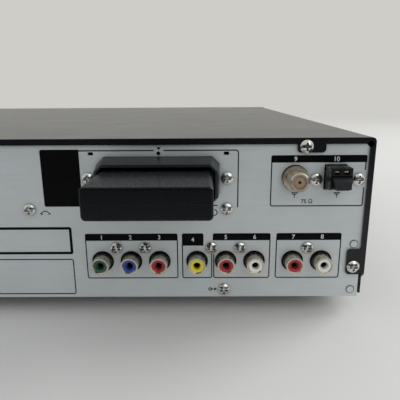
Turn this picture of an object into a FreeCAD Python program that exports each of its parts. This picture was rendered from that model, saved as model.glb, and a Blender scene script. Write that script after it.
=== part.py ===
import FreeCAD, Part
import math
import os
import re
import Sketcher

# A disc player and receiver in one steel case, as a kit of separate pieces.
# X runs left to right seen from the front, the disc tray opens towards -Y, and the feet stand on Z = 0.
# The origin is under the middle of the whole thing, knob and plugged-in radio module included.

DOCUMENT = FreeCAD.newDocument("receiver")
PARTS_FOLDER = "parts"

# Driving sizes in millimetres and degrees. An inset is measured inwards from the cover's outer side,
# and a rise upwards from the rear panel's bottom edge.
SIZES = (
    # Case
    ("cover_width", 430.0),
    ("cover_depth", 364.0),
    ("cover_rise", 79.4),
    ("cover_lift", 0.8),
    ("cover_corner", 2.0),
    ("sheet_gauge", 1.0),
    ("top_flange", 2.9),
    ("side_flange", 2.45),
    ("flange_notch", 1.4),
    ("side_tab_rise", 12.3),
    ("side_setback", 3.0),
    ("side_tab_height", 12.9),
    ("side_tab_reach", 6.6),
    ("top_tab_inset", 29.2),
    ("top_tab_width", 12.9),
    ("top_tab_drop", 3.9),
    ("tab_corner", 1.6),
    ("panel_inset", 2.3),
    ("panel_gap", 0.3),
    ("panel_corner_cut", 1.8),
    ("chassis_wall", 10.0),
    ("foot_height", 8.6),
    ("foot_radius", 14.0),
    ("foot_inset", 42.0),
    ("foot_setback", 38.0),
    ("cover_vent_length", 26.0),
    ("cover_vent_width", 3.0),
    ("cover_vent_pitch", 9.0),
    ("cover_vent_count", 12.0),
    ("floor_vent_length", 30.0),
    ("floor_vent_width", 3.0),
    ("floor_vent_pitch", 8.0),
    ("floor_vent_count", 9.0),
    # Screws
    ("screw_shank", 1.5),
    ("screw_clearance", 0.1),
    ("screw_length", 5.5),
    ("screw_head_radius", 2.8),
    ("screw_head_height", 1.9),
    ("screw_dome", 4.2),
    ("screw_cross_length", 3.9),
    ("screw_cross_width", 1.0),
    ("screw_cross_depth", 1.3),
    ("cover_screw_head_radius", 3.1),
    ("top_screw_inset", 31.7),
    ("top_screw_rise", 75.4),
    ("side_screw_inset", 5.8),
    ("side_screw_rise", 16.4),
    # Marks pressed in the rear panel
    ("clinch_radius", 1.7),
    ("clinch_height", 0.4),
    ("clinch_groove", 0.45),
    ("clinch_groove_depth", 0.6),
    ("clinch_inset", 5.9),
    ("upper_clinch_rise", 27.8),
    ("lower_clinch_rise", 3.8),
    ("gauge_hole_radius", 0.95),
    ("gauge_slot_width", 2.4),
    ("gauge_slot_height", 1.5),
    ("gauge_hole_rise", 72.4),
    ("gauge_hole_shift", 0.75),
    # Phono jacks
    ("phono_rise", 19.2),
    ("phono_pitch", 14.0),
    ("component_inset", 100.55),
    ("television_inset", 54.2),
    ("satellite_inset", 21.5),
    ("phono_radius", 4.15),
    ("phono_wall", 1.0),
    ("phono_reach", 7.3),
    ("phono_hole_radius", 5.35),
    ("phono_root_radius", 4.6),
    ("phono_bore", 1.8),
    ("phono_recess", 0.4),
    ("phono_flare", 0.35),
    ("phono_mouth", 0.5),
    ("contact_wall", 0.25),
    ("contact_depth", 3.0),
    ("jack_block_depth", 13.0),
    ("jack_block_above", 10.2),
    ("jack_block_below", 7.0),
    ("jack_block_side", 6.5),
    ("jack_screw_rise", 6.9),
    ("jack_sink", 2.0),
    # Aerial inputs
    ("coax_inset", 36.2),
    ("coax_rise", 60.6),
    ("coax_radius", 4.4),
    ("coax_reach", 11.0),
    ("coax_collar_radius", 5.85),
    ("coax_collar_reach", 2.5),
    ("coax_bore", 3.0),
    ("coax_recess", 0.5),
    ("coax_tip", 0.6),
    ("coax_pin_bore", 0.7),
    ("coax_hole_radius", 6.3),
    ("tuner_inset", 4.0),
    ("tuner_width", 41.0),
    ("tuner_depth", 48.0),
    ("tuner_height", 14.5),
    ("tuner_rise", 53.5),
    ("aerial_screw_rise", 59.9),
    ("outer_aerial_screw_inset", 6.4),
    ("inner_aerial_screw_inset", 26.3),
    ("wire_block_inset", 17.35),
    ("wire_block_rise", 55.3),
    ("wire_block_width", 9.8),
    ("wire_block_height", 11.3),
    ("wire_block_reach", 9.0),
    ("wire_block_gap", 0.4),
    ("wire_block_slope", 1.6),
    ("wire_slot_width", 2.6),
    ("wire_slot_height", 2.0),
    ("wire_slot_pitch", 4.15),
    ("wire_slot_depth", 5.0),
    ("lever_width", 8.2),
    ("lever_nose_width", 4.8),
    ("lever_rise", 7.5),
    ("lever_reach", 3.5),
    ("lever_gap", 0.3),
    ("lever_pin_radius", 0.8),
    ("lever_pin_reach", 0.4),
    ("lever_pivot_depth", 4.0),
    ("lever_pivot_rise", 1.8),
    # Plug-in radio module and its slot
    ("slot_inset", 100.4),
    ("slot_rise", 58.8),
    ("module_width", 50.4),
    ("module_height", 13.4),
    ("module_reach", 41.6),
    ("module_corner", 1.9),
    ("module_edge", 1.0),
    ("module_lift", 0.45),
    ("module_seat", 1.5),
    ("card_width", 46.0),
    ("card_height", 5.0),
    ("card_length", 46.0),
    ("card_gap", 0.3),
    ("bezel_width", 57.1),
    ("bezel_foot", 8.7),
    ("bezel_head", 12.3),
    ("bezel_reach", 11.5),
    ("bezel_chamfer", 3.4),
    ("bezel_side_draft", 1.1),
    ("bezel_head_draft", 1.95),
    ("bezel_wall", 1.2),
    ("bezel_floor", 1.0),
    ("bezel_shift", 0.5),
    ("slot_screw_reach", 32.6),
    ("slot_screw_rise", 60.7),
    ("socket_wall", 2.5),
    ("socket_margin", 5.0),
    ("socket_back", 4.0),
    # Other fixings of the rear panel
    ("bracket_screw_inset", 67.9),
    ("label_screw_inset", 161.9),
    ("bracket_screw_rise", 45.8),
    ("floor_screw_inset", 68.9),
    ("floor_screw_rise", 4.0),
    # Sockets on the other half of the rear panel
    ("inlet_inset", 30.0),
    ("inlet_rise", 22.0),
    ("inlet_width", 20.0),
    ("inlet_height", 12.0),
    ("inlet_depth", 22.0),
    ("inlet_flange_width", 36.0),
    ("inlet_flange_height", 18.0),
    ("inlet_flange_gauge", 2.0),
    ("inlet_cavity_width", 13.6),
    ("inlet_cavity_height", 7.6),
    ("inlet_cavity_depth", 14.0),
    ("inlet_pin_radius", 1.2),
    ("inlet_pin_pitch", 6.6),
    ("inlet_pin_length", 9.0),
    ("inlet_screw_reach", 14.0),
    ("speaker_inset", 92.0),
    ("speaker_rows", 2.0),
    ("speaker_columns", 3.0),
    ("speaker_pitch", 17.0),
    ("speaker_row_pitch", 13.0),
    ("speaker_socket_width", 12.0),
    ("speaker_socket_height", 8.6),
    ("speaker_socket_depth", 11.0),
    ("speaker_margin", 3.5),
    ("speaker_depth", 20.0),
    ("speaker_reach", 3.0),
    ("speaker_ear", 8.0),
    ("hdmi_inset", 10.0),
    ("hdmi_width", 15.4),
    ("hdmi_height", 6.0),
    ("hdmi_depth", 12.0),
    ("hdmi_wall", 0.5),
    ("hdmi_reach", 0.8),
    ("hdmi_tongue_gauge", 1.0),
    ("fan_inset", 168.0),
    ("fan_rise", 41.0),
    ("fan_size", 60.0),
    ("fan_gauge", 15.0),
    ("fan_hole_pitch", 50.0),
    ("fan_bore", 28.4),
    ("fan_web", 2.0),
    ("fan_hub_radius", 12.0),
    ("fan_blade_gap", 0.9),
    ("fan_blade_gauge", 1.0),
    ("fan_blade_count", 7.0),
    ("fan_motor_radius", 9.0),
    ("fan_motor_gauge", 3.0),
    ("fan_strut_width", 3.0),
    ("fan_axle_radius", 1.5),
    ("grille_slot_width", 3.0),
    ("grille_slot_pitch", 6.0),
    ("grille_slot_count", 8.0),
    ("grille_slot_length", 44.0),
    # Circuit boards
    ("board_gauge", 1.6),
    ("board_inset", 8.0),
    ("board_margin", 5.0),
    ("post_radius", 3.5),
    ("board_split", 19.0),
    ("main_board_depth", 150.0),
    ("amplifier_width", 108.0),
    ("amplifier_depth", 150.0),
    ("power_board_width", 105.0),
    ("power_board_depth", 145.0),
    ("power_board_setback", 12.0),
    ("transformer_width", 40.0),
    ("transformer_depth", 44.0),
    ("transformer_height", 34.0),
    ("transformer_window", 5.0),
    ("capacitor_radius", 11.0),
    ("capacitor_height", 38.0),
    ("capacitor_pitch", 26.0),
    ("capacitor_count", 3.0),
    ("sink_length", 84.0),
    ("sink_depth", 30.0),
    ("sink_height", 42.0),
    ("sink_plate", 4.0),
    ("sink_fin", 1.6),
    ("sink_fin_pitch", 7.0),
    ("sink_setback", 40.0),
    # Front
    ("fascia_depth", 21.0),
    ("fascia_drop", 4.0),
    ("fascia_wall", 2.5),
    ("fascia_round", 3.0),
    ("window_width", 180.0),
    ("window_height", 24.0),
    ("window_rise", 18.0),
    ("window_lip", 1.5),
    ("window_gap", 0.15),
    ("window_gauge", 1.2),
    ("tube_width", 120.0),
    ("tube_height", 18.0),
    ("tube_gauge", 6.0),
    ("front_board_margin", 8.0),
    ("front_board_rise", 6.0),
    ("front_board_height", 66.0),
    ("front_board_notch", 92.0),
    ("knob_inset", 42.0),
    ("knob_rise", 37.0),
    ("knob_radius", 21.0),
    ("knob_gap", 0.6),
    ("knob_length", 19.0),
    ("knob_reach", 9.0),
    ("knob_wall", 2.0),
    ("knob_round", 1.5),
    ("knob_stem_radius", 3.0),
    ("knob_groove_radius", 0.5),
    ("knob_groove_count", 48.0),
    ("knob_mark_width", 1.2),
    ("knob_mark_length", 6.0),
    ("knob_mark_start", 11.5),
    ("knob_mark_depth", 0.3),
    ("encoder_size", 14.0),
    ("encoder_gauge", 4.5),
    ("encoder_bush_radius", 4.5),
    ("running_gap", 0.05),
    ("button_radius", 6.0),
    ("power_radius", 8.5),
    ("button_reach", 1.4),
    ("button_gap", 0.35),
    ("button_flange", 1.5),
    ("button_flange_gauge", 1.5),
    ("button_stem_radius", 2.0),
    ("button_travel", 0.9),
    ("button_rise", 62.0),
    ("button_pitch", 21.0),
    ("button_offset", 90.0),
    ("power_inset", 36.0),
    ("power_rise", 55.0),
    ("phones_rise", 20.0),
    ("phones_bore", 3.25),
    ("phones_nose_radius", 5.5),
    ("phones_nose_reach", 1.0),
    ("phones_body_width", 14.0),
    ("phones_body_height", 12.0),
    # Loading mechanism
    ("tray_rise", 52.0),
    ("tray_width", 128.0),
    ("tray_gauge", 8.0),
    ("tray_travel", 131.0),
    ("tray_gap", 0.4),
    ("disc_margin", 4.0),
    ("disc_recess_radius", 61.0),
    ("disc_recess_depth", 2.2),
    ("small_recess_radius", 41.0),
    ("small_recess_depth", 3.2),
    ("pickup_slot_radius", 24.0),
    ("pickup_slot_gap", 1.5),
    ("tray_front_width", 140.0),
    ("tray_front_height", 16.0),
    ("tray_front_gauge", 3.0),
    ("tray_front_gap", 0.5),
    ("tray_front_reach", 0.8),
    ("rail_reach", 3.0),
    ("rail_gauge", 1.5),
    ("loader_wall", 3.0),
    ("loader_tail", 20.0),
    ("loader_gap", 1.0),
    ("loader_foot", 12.0),
    ("deck_depth", 24.0),
    ("deck_gauge", 2.5),
    ("deck_rise", 37.0),
    ("bridge_width", 34.0),
    ("bridge_gauge", 1.2),
    ("clamper_radius", 15.0),
    ("clamper_lift", 1.2),
    ("clamper_gap", 0.8),
    ("clamper_gauge", 3.4),
    ("clamper_neck_radius", 9.0),
    ("clamper_neck_gap", 1.0),
    ("clamper_cap_radius", 12.0),
    ("clamper_cap_gauge", 1.2),
    # Gears and belt
    ("gear_module", 1.0),
    ("tooth_clearance", 0.12),
    ("tray_gear_teeth", 24.0),
    ("pinion_teeth", 12.0),
    ("gear_gauge", 3.6),
    ("gear_setback", 13.5),
    ("gear_bore", 1.6),
    ("rack_inset", 3.5),
    ("rack_gauge", 2.0),
    ("pulley_radius", 11.0),
    ("pulley_gauge", 4.0),
    ("pulley_flange", 1.0),
    ("belt_width", 1.6),
    ("belt_gauge", 1.0),
    ("belt_gap", 0.1),
    ("belt_span", 38.0),
    ("motor_pulley_radius", 3.5),
    ("motor_radius", 10.0),
    ("motor_length", 16.0),
    ("motor_shaft_radius", 1.0),
    # Tilting base that carries the turntable and the pickup
    ("base_tilt", 6.5),
    ("base_reach", 114.0),
    ("base_width", 84.0),
    ("base_gauge", 2.5),
    ("base_top", 2.8),
    ("base_nose", 17.0),
    ("base_tail", 6.0),
    ("base_window_width", 60.0),
    ("pivot_pin_radius", 2.0),
    ("pivot_pin_gap", 0.6),
    ("spindle_motor_radius", 13.0),
    ("spindle_motor_length", 9.0),
    ("turntable_radius", 15.0),
    ("turntable_gauge", 2.0),
    ("turntable_lift", 1.2),
    ("hub_radius", 7.35),
    ("hub_height", 3.6),
    ("spindle_radius", 1.2),
    ("pickup_width", 36.0),
    ("pickup_length", 24.0),
    ("pickup_height", 9.0),
    ("pickup_start", 15.0),
    ("pickup_travel", 33.0),
    ("lens_start", 24.0),
    ("lens_mount_radius", 4.5),
    ("lens_radius", 2.2),
    ("lens_height", 0.8),
    ("lens_gap", 1.8),
    ("rod_radius", 1.5),
    ("rod_spread", 26.0),
    ("rod_gap", 0.05),
    ("rod_holder", 3.0),
    ("sled_module", 0.8),
    ("sled_gear_teeth", 12.0),
    ("sled_gear_gauge", 2.0),
    ("sled_gap", 0.4),
    ("sled_rack_width", 2.0),
    ("sled_motor_radius", 6.0),
    ("sled_motor_length", 12.0),
    ("bracket_width", 12.0),
)

# Places that follow from the driving sizes.
PLACES = (
    ("half_width", "cover_width / 2"),
    ("half_depth", "(knob_reach + fascia_depth + cover_depth - sheet_gauge + module_reach) / 2"),
    ("front_y", "knob_reach - half_depth"),
    ("case_y", "front_y + fascia_depth"),
    ("panel_y", "half_depth - module_reach"),
    ("inside_y", "panel_y - sheet_gauge"),
    ("floor_z", "foot_height + sheet_gauge"),
    ("top_z", "foot_height + cover_rise"),
    ("panel_half", "half_width - panel_inset"),
    ("panel_height", "cover_rise - sheet_gauge - panel_gap"),
    ("screw_hole", "screw_shank + screw_clearance"),
    ("main_board_width", "half_width - board_split"),
    ("board_top", "foot_height + phono_rise - jack_block_below"),
    ("board_low", "board_top - board_gauge"),
    ("phono_z", "foot_height + phono_rise"),
    ("slot_x", "slot_inset - half_width"),
    ("slot_z", "foot_height + slot_rise"),
    ("coax_x", "coax_inset - half_width"),
    ("coax_z", "foot_height + coax_rise"),
    ("tuner_x", "tuner_inset - half_width"),
    ("tuner_z", "foot_height + tuner_rise"),
    ("wire_x", "wire_block_inset - half_width"),
    ("wire_z", "foot_height + wire_block_rise"),
    ("inlet_x", "half_width - inlet_inset"),
    ("inlet_z", "foot_height + inlet_rise"),
    ("speaker_x", "half_width - speaker_inset"),
    ("speaker_width", "speaker_columns * speaker_pitch + 2 * speaker_margin"),
    ("speaker_height", "speaker_rows * speaker_row_pitch + 2 * speaker_margin"),
    ("speaker_flange_width", "speaker_width + 2 * speaker_ear"),
    ("fan_x", "half_width - fan_inset"),
    ("fan_z", "foot_height + fan_rise"),
    ("hdmi_x", "board_inset + main_board_width - hdmi_inset - half_width"),
    ("hdmi_z", "board_top + hdmi_height / 2"),
    ("tray_z", "foot_height + tray_rise"),
    ("tray_top", "tray_z + tray_gauge"),
    ("tray_y", "front_y + tray_front_gauge - tray_front_reach"),
    ("disc_y", "tray_y + disc_margin + disc_recess_radius"),
    ("loader_y", "case_y + loader_gap"),
    ("loader_inner", "tray_width / 2 + tray_gap"),
    ("loader_outer", "loader_inner + loader_wall"),
    ("deck_top", "floor_z + deck_rise"),
    ("gear_y", "loader_y + gear_setback"),
    ("tray_rear", "gear_y + tray_travel + 2.5 * pi * gear_module"),
    ("loader_length", "tray_rear + loader_tail - loader_y"),
    ("rack_x", "rack_inset + rack_gauge - tray_width / 2"),
    ("pitch_line", "rack_x + 1.25 * gear_module"),
    ("tray_gear_x", "pitch_line + tray_gear_teeth * gear_module / 2"),
    ("pulley_x", "tray_gear_x + (tray_gear_teeth + pinion_teeth) * gear_module / 2"),
    ("motor_x", "pulley_x + belt_span"),
    ("gear_z", "tray_z - tray_gap - gear_gauge"),
    ("pulley_z", "deck_top + tray_gap"),
    ("pivot_y", "disc_y + base_reach"),
    ("pivot_z", "tray_z - base_top - base_gauge / 2"),
    ("base_face", "base_gauge / 2"),
    ("seat_rise", "tray_z + tray_gauge - disc_recess_depth + turntable_lift - pivot_z"),
    ("clamper_z", "tray_top + clamper_lift"),
    ("bridge_z", "clamper_z + clamper_gauge + clamper_gap"),
    ("rod_z", "-base_face - rod_radius"),
    ("sled_low", "-base_face - 2 * rod_radius - 1.5"),
    ("sled_y", "pickup_start - base_reach"),
    ("sled_middle", "sled_y + pickup_length / 2"),
    ("sled_gear_x", "pickup_width / 2 + (1.25 + sled_gear_teeth / 2) * sled_module"),
    ("sled_gear_y", "sled_middle + pickup_travel / 2"),
    ("sled_gear_z", "sled_low - sled_gap - sled_gear_gauge"),
    ("shelf_z", "sled_gear_z - 1.5 * sled_gap - base_gauge"),
    ("window_z", "foot_height + window_rise"),
    ("knob_x", "half_width - knob_inset"),
    ("knob_z", "foot_height + knob_rise"),
    ("fascia_z", "foot_height - fascia_drop"),
    ("front_board_y", "case_y - board_gauge"),
    ("wall_y", "front_y + fascia_wall"),
)

# Rows of phono jacks: the block's name, the inset of its outermost jack and the number of jacks.
JACK_BLOCKS = (
    ("component", "component_inset", 3),
    ("television", "television_inset", 3),
    ("satellite", "satellite_inset", 2),
)

# Insulator colours, each with the jacks that have it, counted from the block's outermost jack.
INSULATORS = (
    ("green_insulator", (("component_inset", 2),)),
    ("blue_insulator", (("component_inset", 1),)),
    ("red_insulators", (("component_inset", 0), ("television_inset", 1), ("satellite_inset", 1))),
    ("yellow_insulator", (("television_inset", 2),)),
    ("white_insulators", (("television_inset", 0), ("satellite_inset", 0))),
)

AXES = {
    "x": (FreeCAD.Vector(0, 1, 0), 90),
    "y": (FreeCAD.Vector(1, 0, 0), -90),
    "z": (FreeCAD.Vector(0, 0, 1), 0),
}

OWNERS = {}
NODES = {}


def formula(text):
    """The text with every named size or place written as the sheets know it."""
    return re.sub(r"[a-z][a-z_]+", lambda word: OWNERS.get(word.group(), "") + word.group(), text)


def fill_sheet(name, rows):
    """A spreadsheet with one named cell for each row."""
    sheet = DOCUMENT.addObject("Spreadsheet::Sheet", name)
    for number, (alias, content) in enumerate(rows, 1):
        sheet.set(f"A{number}", alias)
        sheet.set(f"B{number}", content)
        sheet.setAlias(f"B{number}", alias)
    return sheet


def make_sheets():
    """The sheet of driving sizes and the sheet of places that follow from them."""
    sizes = fill_sheet("sizes", [(alias, str(number)) for alias, number in SIZES])
    OWNERS.update((alias, "sizes.") for alias, number in SIZES)
    rows = []
    for alias, text in PLACES:
        rows.append((alias, "=" + formula(text)))
        OWNERS[alias] = ""
    places = fill_sheet("places", rows)
    DOCUMENT.recompute()
    OWNERS.update((alias, "places.") for alias, text in PLACES)
    numbers = {alias: float(sizes.get(alias)) for alias, number in SIZES}
    numbers.update((alias, float(places.get(alias))) for alias, text in PLACES)
    return numbers


VALUE = make_sheets()


def bind(item, **formulas):
    """Tie properties of a document object to formulas in the named sizes."""
    for name, text in formulas.items():
        item.setExpression(name, formula(text))


def put(item, x="0", y="0", z="0"):
    """Tie the place of a document object to formulas."""
    for letter, text in zip("xyz", (x, y, z)):
        item.setExpression(f"Placement.Base.{letter}", formula(text))
    return item


def node(item, name):
    """Mark a document object as a piece that is kept under this name."""
    item.Label = name
    NODES[name] = item
    return item


def block(name, corner, size):
    """A box from its lowest corner."""
    item = DOCUMENT.addObject("Part::Box", name)
    bind(item, Length=size[0], Width=size[1], Height=size[2])
    return put(item, *corner)


def wedge(name, corner, width, depth, low, high):
    """A block from its lowest corner, whose top rises from one height to another along Y."""
    item = DOCUMENT.addObject("Part::Wedge", name)
    item.X2min = 0
    item.Z2min = 0
    bind(item, Xmax=width, X2max=width, Ymax=depth, Zmax=low, Z2max=high)
    return put(item, *corner)


def rod(name, start, radius, length, along="z"):
    """A cylinder from the middle of its first face, along an axis."""
    item = DOCUMENT.addObject("Part::Cylinder", name)
    bind(item, Radius=radius, Height=length)
    item.Placement.Rotation = FreeCAD.Rotation(*AXES[along])
    return put(item, *start)


def cone(name, start, low_radius, high_radius, height, along="z"):
    """A cone from the middle of its first face, along an axis."""
    item = DOCUMENT.addObject("Part::Cone", name)
    bind(item, Radius1=low_radius, Radius2=high_radius, Height=height)
    item.Placement.Rotation = FreeCAD.Rotation(*AXES[along])
    return put(item, *start)


def ball(name, middle, radius):
    """A sphere round its middle."""
    item = DOCUMENT.addObject("Part::Sphere", name)
    bind(item, Radius=radius)
    return put(item, *middle)


def overlap(name, pieces):
    """What several solids share."""
    item = DOCUMENT.addObject("Part::MultiCommon", name)
    item.Shapes = pieces
    return item


def join(name, pieces):
    """Several solids made into one."""
    item = DOCUMENT.addObject("Part::MultiFuse", name)
    item.Shapes = pieces
    item.Refine = True
    return item


def group(name, pieces):
    """Several separate solids kept as one node."""
    item = DOCUMENT.addObject("Part::Compound", name)
    item.Links = pieces
    return item


def cut(name, base, tools):
    """A solid less one or more others."""
    item = DOCUMENT.addObject("Part::Cut", name)
    item.Base = base
    item.Tool = tools[0] if len(tools) == 1 else group(name + "_tools", tools)
    return item


def raw_body(name, x="0", y="0", z="0"):
    """An empty body with its origin at a named place."""
    return put(DOCUMENT.addObject("PartDesign::Body", name), x, y, z)


def new_body(name, x="0", y="0", z="0"):
    """An empty body that is a node by itself."""
    return node(raw_body(name, x, y, z), name)


def origin_part(body, role):
    """The plane or axis of a body's own origin that has this role."""
    return next(item for item in body.Origin.OriginFeatures if item.Role == role)


def sketch(body, name, plane="XY_Plane", lift="0"):
    """A sketch on one of the body's own planes, lifted along the plane's normal."""
    item = body.newObject("Sketcher::SketchObject", f"{body.Name}_{name}")
    item.AttachmentSupport = [(origin_part(body, plane), "")]
    item.MapMode = "FlatFace"
    item.setExpression("AttachmentOffset.Base.z", formula(lift))
    return item


def pin_point(drawing, number, point, x, y):
    """Hold one point of a sketch at formulas measured from the sketch's origin."""
    for kind, letter, text in (("DistanceX", "x", x), ("DistanceY", "y", y)):
        index = drawing.addConstraint(Sketcher.Constraint(kind, -1, 1, number, point, 1.0))
        drawing.renameConstraint(index, f"{letter}{number}")
        drawing.setExpression(f"Constraints.{letter}{number}", formula(text))


def outline(drawing, points):
    """A closed outline through points that are given as formulas."""
    count = len(points)
    first = drawing.GeometryCount
    turn = 2 * math.pi / count
    corners = [FreeCAD.Vector(math.cos(turn * k), math.sin(turn * k), 0) for k in range(count)]
    for k in range(count):
        drawing.addGeometry(Part.LineSegment(corners[k], corners[(k + 1) % count]), False)
    for k in range(count):
        after = first + (k + 1) % count
        drawing.addConstraint(Sketcher.Constraint("Coincident", first + k, 2, after, 1))
    for k, (x, y) in enumerate(points):
        pin_point(drawing, first + k, 1, x, y)


def rectangle(drawing, x, y, width, height):
    """A rectangle in a sketch, from its lower left corner."""
    right = f"{x} + {width}"
    top = f"{y} + {height}"
    outline(drawing, ((x, y), (right, y), (right, top), (x, top)))


def circle(drawing, x, y, radius):
    """A circle in a sketch."""
    start = Part.Circle(FreeCAD.Vector(0, 0, 0), FreeCAD.Vector(0, 0, 1), 1)
    number = drawing.addGeometry(start, False)
    pin_point(drawing, number, 3, x, y)
    index = drawing.addConstraint(Sketcher.Constraint("Radius", number, 1.0))
    drawing.renameConstraint(index, f"radius{number}")
    drawing.setExpression(f"Constraints.radius{number}", formula(radius))


def pad(body, drawing, length, reverse=False):
    """Material raised from a sketch."""
    item = body.newObject("PartDesign::Pad", drawing.Name + "_pad")
    item.Profile = drawing
    item.Reversed = reverse
    bind(item, Length=length)
    return item


def pocket(body, drawing, depth=None, reverse=False):
    """Material cut away under a sketch, or right through where no depth is given."""
    item = body.newObject("PartDesign::Pocket", drawing.Name + "_pocket")
    item.Profile = drawing
    if depth is None:
        item.Type = "ThroughAll"
        item.Midplane = True
    else:
        item.Reversed = reverse
        bind(item, Length=depth)
    return item


def row_pattern(body, feature, plane_axis, length, count):
    """Copies of a feature in a straight row along one of the body's axes."""
    item = body.newObject("PartDesign::LinearPattern", feature.Name + "_row")
    item.Originals = [feature]
    item.Direction = (origin_part(body, plane_axis), [""])
    bind(item, Length=length, Occurrences=count)
    body.Tip = item
    return item


def ring_pattern(body, feature, plane_axis, count):
    """Copies of a feature evenly round one of the body's axes."""
    item = body.newObject("PartDesign::PolarPattern", feature.Name + "_ring")
    item.Originals = [feature]
    item.Axis = (origin_part(body, plane_axis), [""])
    item.Angle = 360
    bind(item, Occurrences=count)
    body.Tip = item
    return item


def round_edges(body, base, radius, wanted):
    """Rounds on the edges of the base feature that pass the test."""
    DOCUMENT.recompute()
    edges = base.Shape.Edges
    item = body.newObject("PartDesign::Fillet", base.Name + "_round")
    item.Base = (base, [f"Edge{k}" for k, edge in enumerate(edges, 1) if wanted(edge)])
    bind(item, Radius=radius)
    return item


def revolve(body, drawing, axis="V_Axis"):
    """A turned solid from a half outline."""
    item = body.newObject("PartDesign::Revolution", drawing.Name + "_turned")
    item.Profile = drawing
    item.ReferenceAxis = (drawing, [axis])
    item.Angle = 360
    return item


def near(first, second):
    """Whether two lengths are the same."""
    return abs(first - second) < 0.001


def runs_back(edge):
    """Whether an edge is straight and lies along Y."""
    return edge.Curve.TypeId == "Part::GeomLine" and abs(edge.Curve.Direction.y) > 0.999


def jacks(inset, count):
    """The places of a block's jacks across the panel, outermost first."""
    return [f"{inset} + {k} * phono_pitch - half_width" for k in range(count)]


def rear_screw_points():
    """Every screw on the rear panel except the cover's own: place across, and height."""
    points = []
    for name, inset, count in JACK_BLOCKS:
        for k in range(count - 1):
            points.append((f"{inset} + {k + 0.5} * phono_pitch - half_width", "phono_z + jack_screw_rise"))
    for side in ("-", "+"):
        points.append((f"slot_x {side} slot_screw_reach", "foot_height + slot_screw_rise"))
        points.append((f"inlet_x {side} inlet_screw_reach", "inlet_z"))
        points.append((f"speaker_x {side} (speaker_width + speaker_ear) / 2",
                       "board_top + speaker_height / 2"))
        for level in ("-", "+"):
            points.append((f"fan_x {side} fan_hole_pitch / 2", f"fan_z {level} fan_hole_pitch / 2"))
    for inset, rise in (
        ("bracket_screw_inset", "bracket_screw_rise"),
        ("label_screw_inset", "bracket_screw_rise"),
        ("floor_screw_inset", "floor_screw_rise"),
        ("outer_aerial_screw_inset", "aerial_screw_rise"),
        ("inner_aerial_screw_inset", "aerial_screw_rise"),
    ):
        points.append((f"{inset} - half_width", f"foot_height + {rise}"))
    points.append(("half_width - floor_screw_inset", "foot_height + floor_screw_rise"))
    return points


def cover_screw_points():
    """The four screws through the cover's tabs: place across, and height."""
    points = []
    for inset, rise in (("top_screw_inset", "top_screw_rise"), ("side_screw_inset", "side_screw_rise")):
        points.append((f"{inset} - half_width", f"foot_height + {rise}"))
        points.append((f"half_width - {inset}", f"foot_height + {rise}"))
    return points


def board_posts():
    """The corners where posts of the chassis carry the three flat boards."""
    corners = []
    for left, width, front, depth in (
        ("board_inset - half_width", "main_board_width", "inside_y - main_board_depth", "main_board_depth"),
        ("half_width - board_inset - amplifier_width", "amplifier_width",
         "inside_y - amplifier_depth", "amplifier_depth"),
        ("half_width - board_inset - power_board_width", "power_board_width",
         "case_y + power_board_setback", "power_board_depth"),
    ):
        for x in (f"{left} + board_margin", f"{left} + {width} - board_margin"):
            for y in (f"{front} + board_margin", f"{front} + {depth} - board_margin"):
                corners.append((x, y))
    return corners


def foot_points():
    """The middles of the four feet."""
    sides = ("foot_inset - half_width", "half_width - foot_inset")
    return [(x, y) for x in sides for y in ("case_y + foot_setback", "panel_y - foot_setback")]


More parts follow.
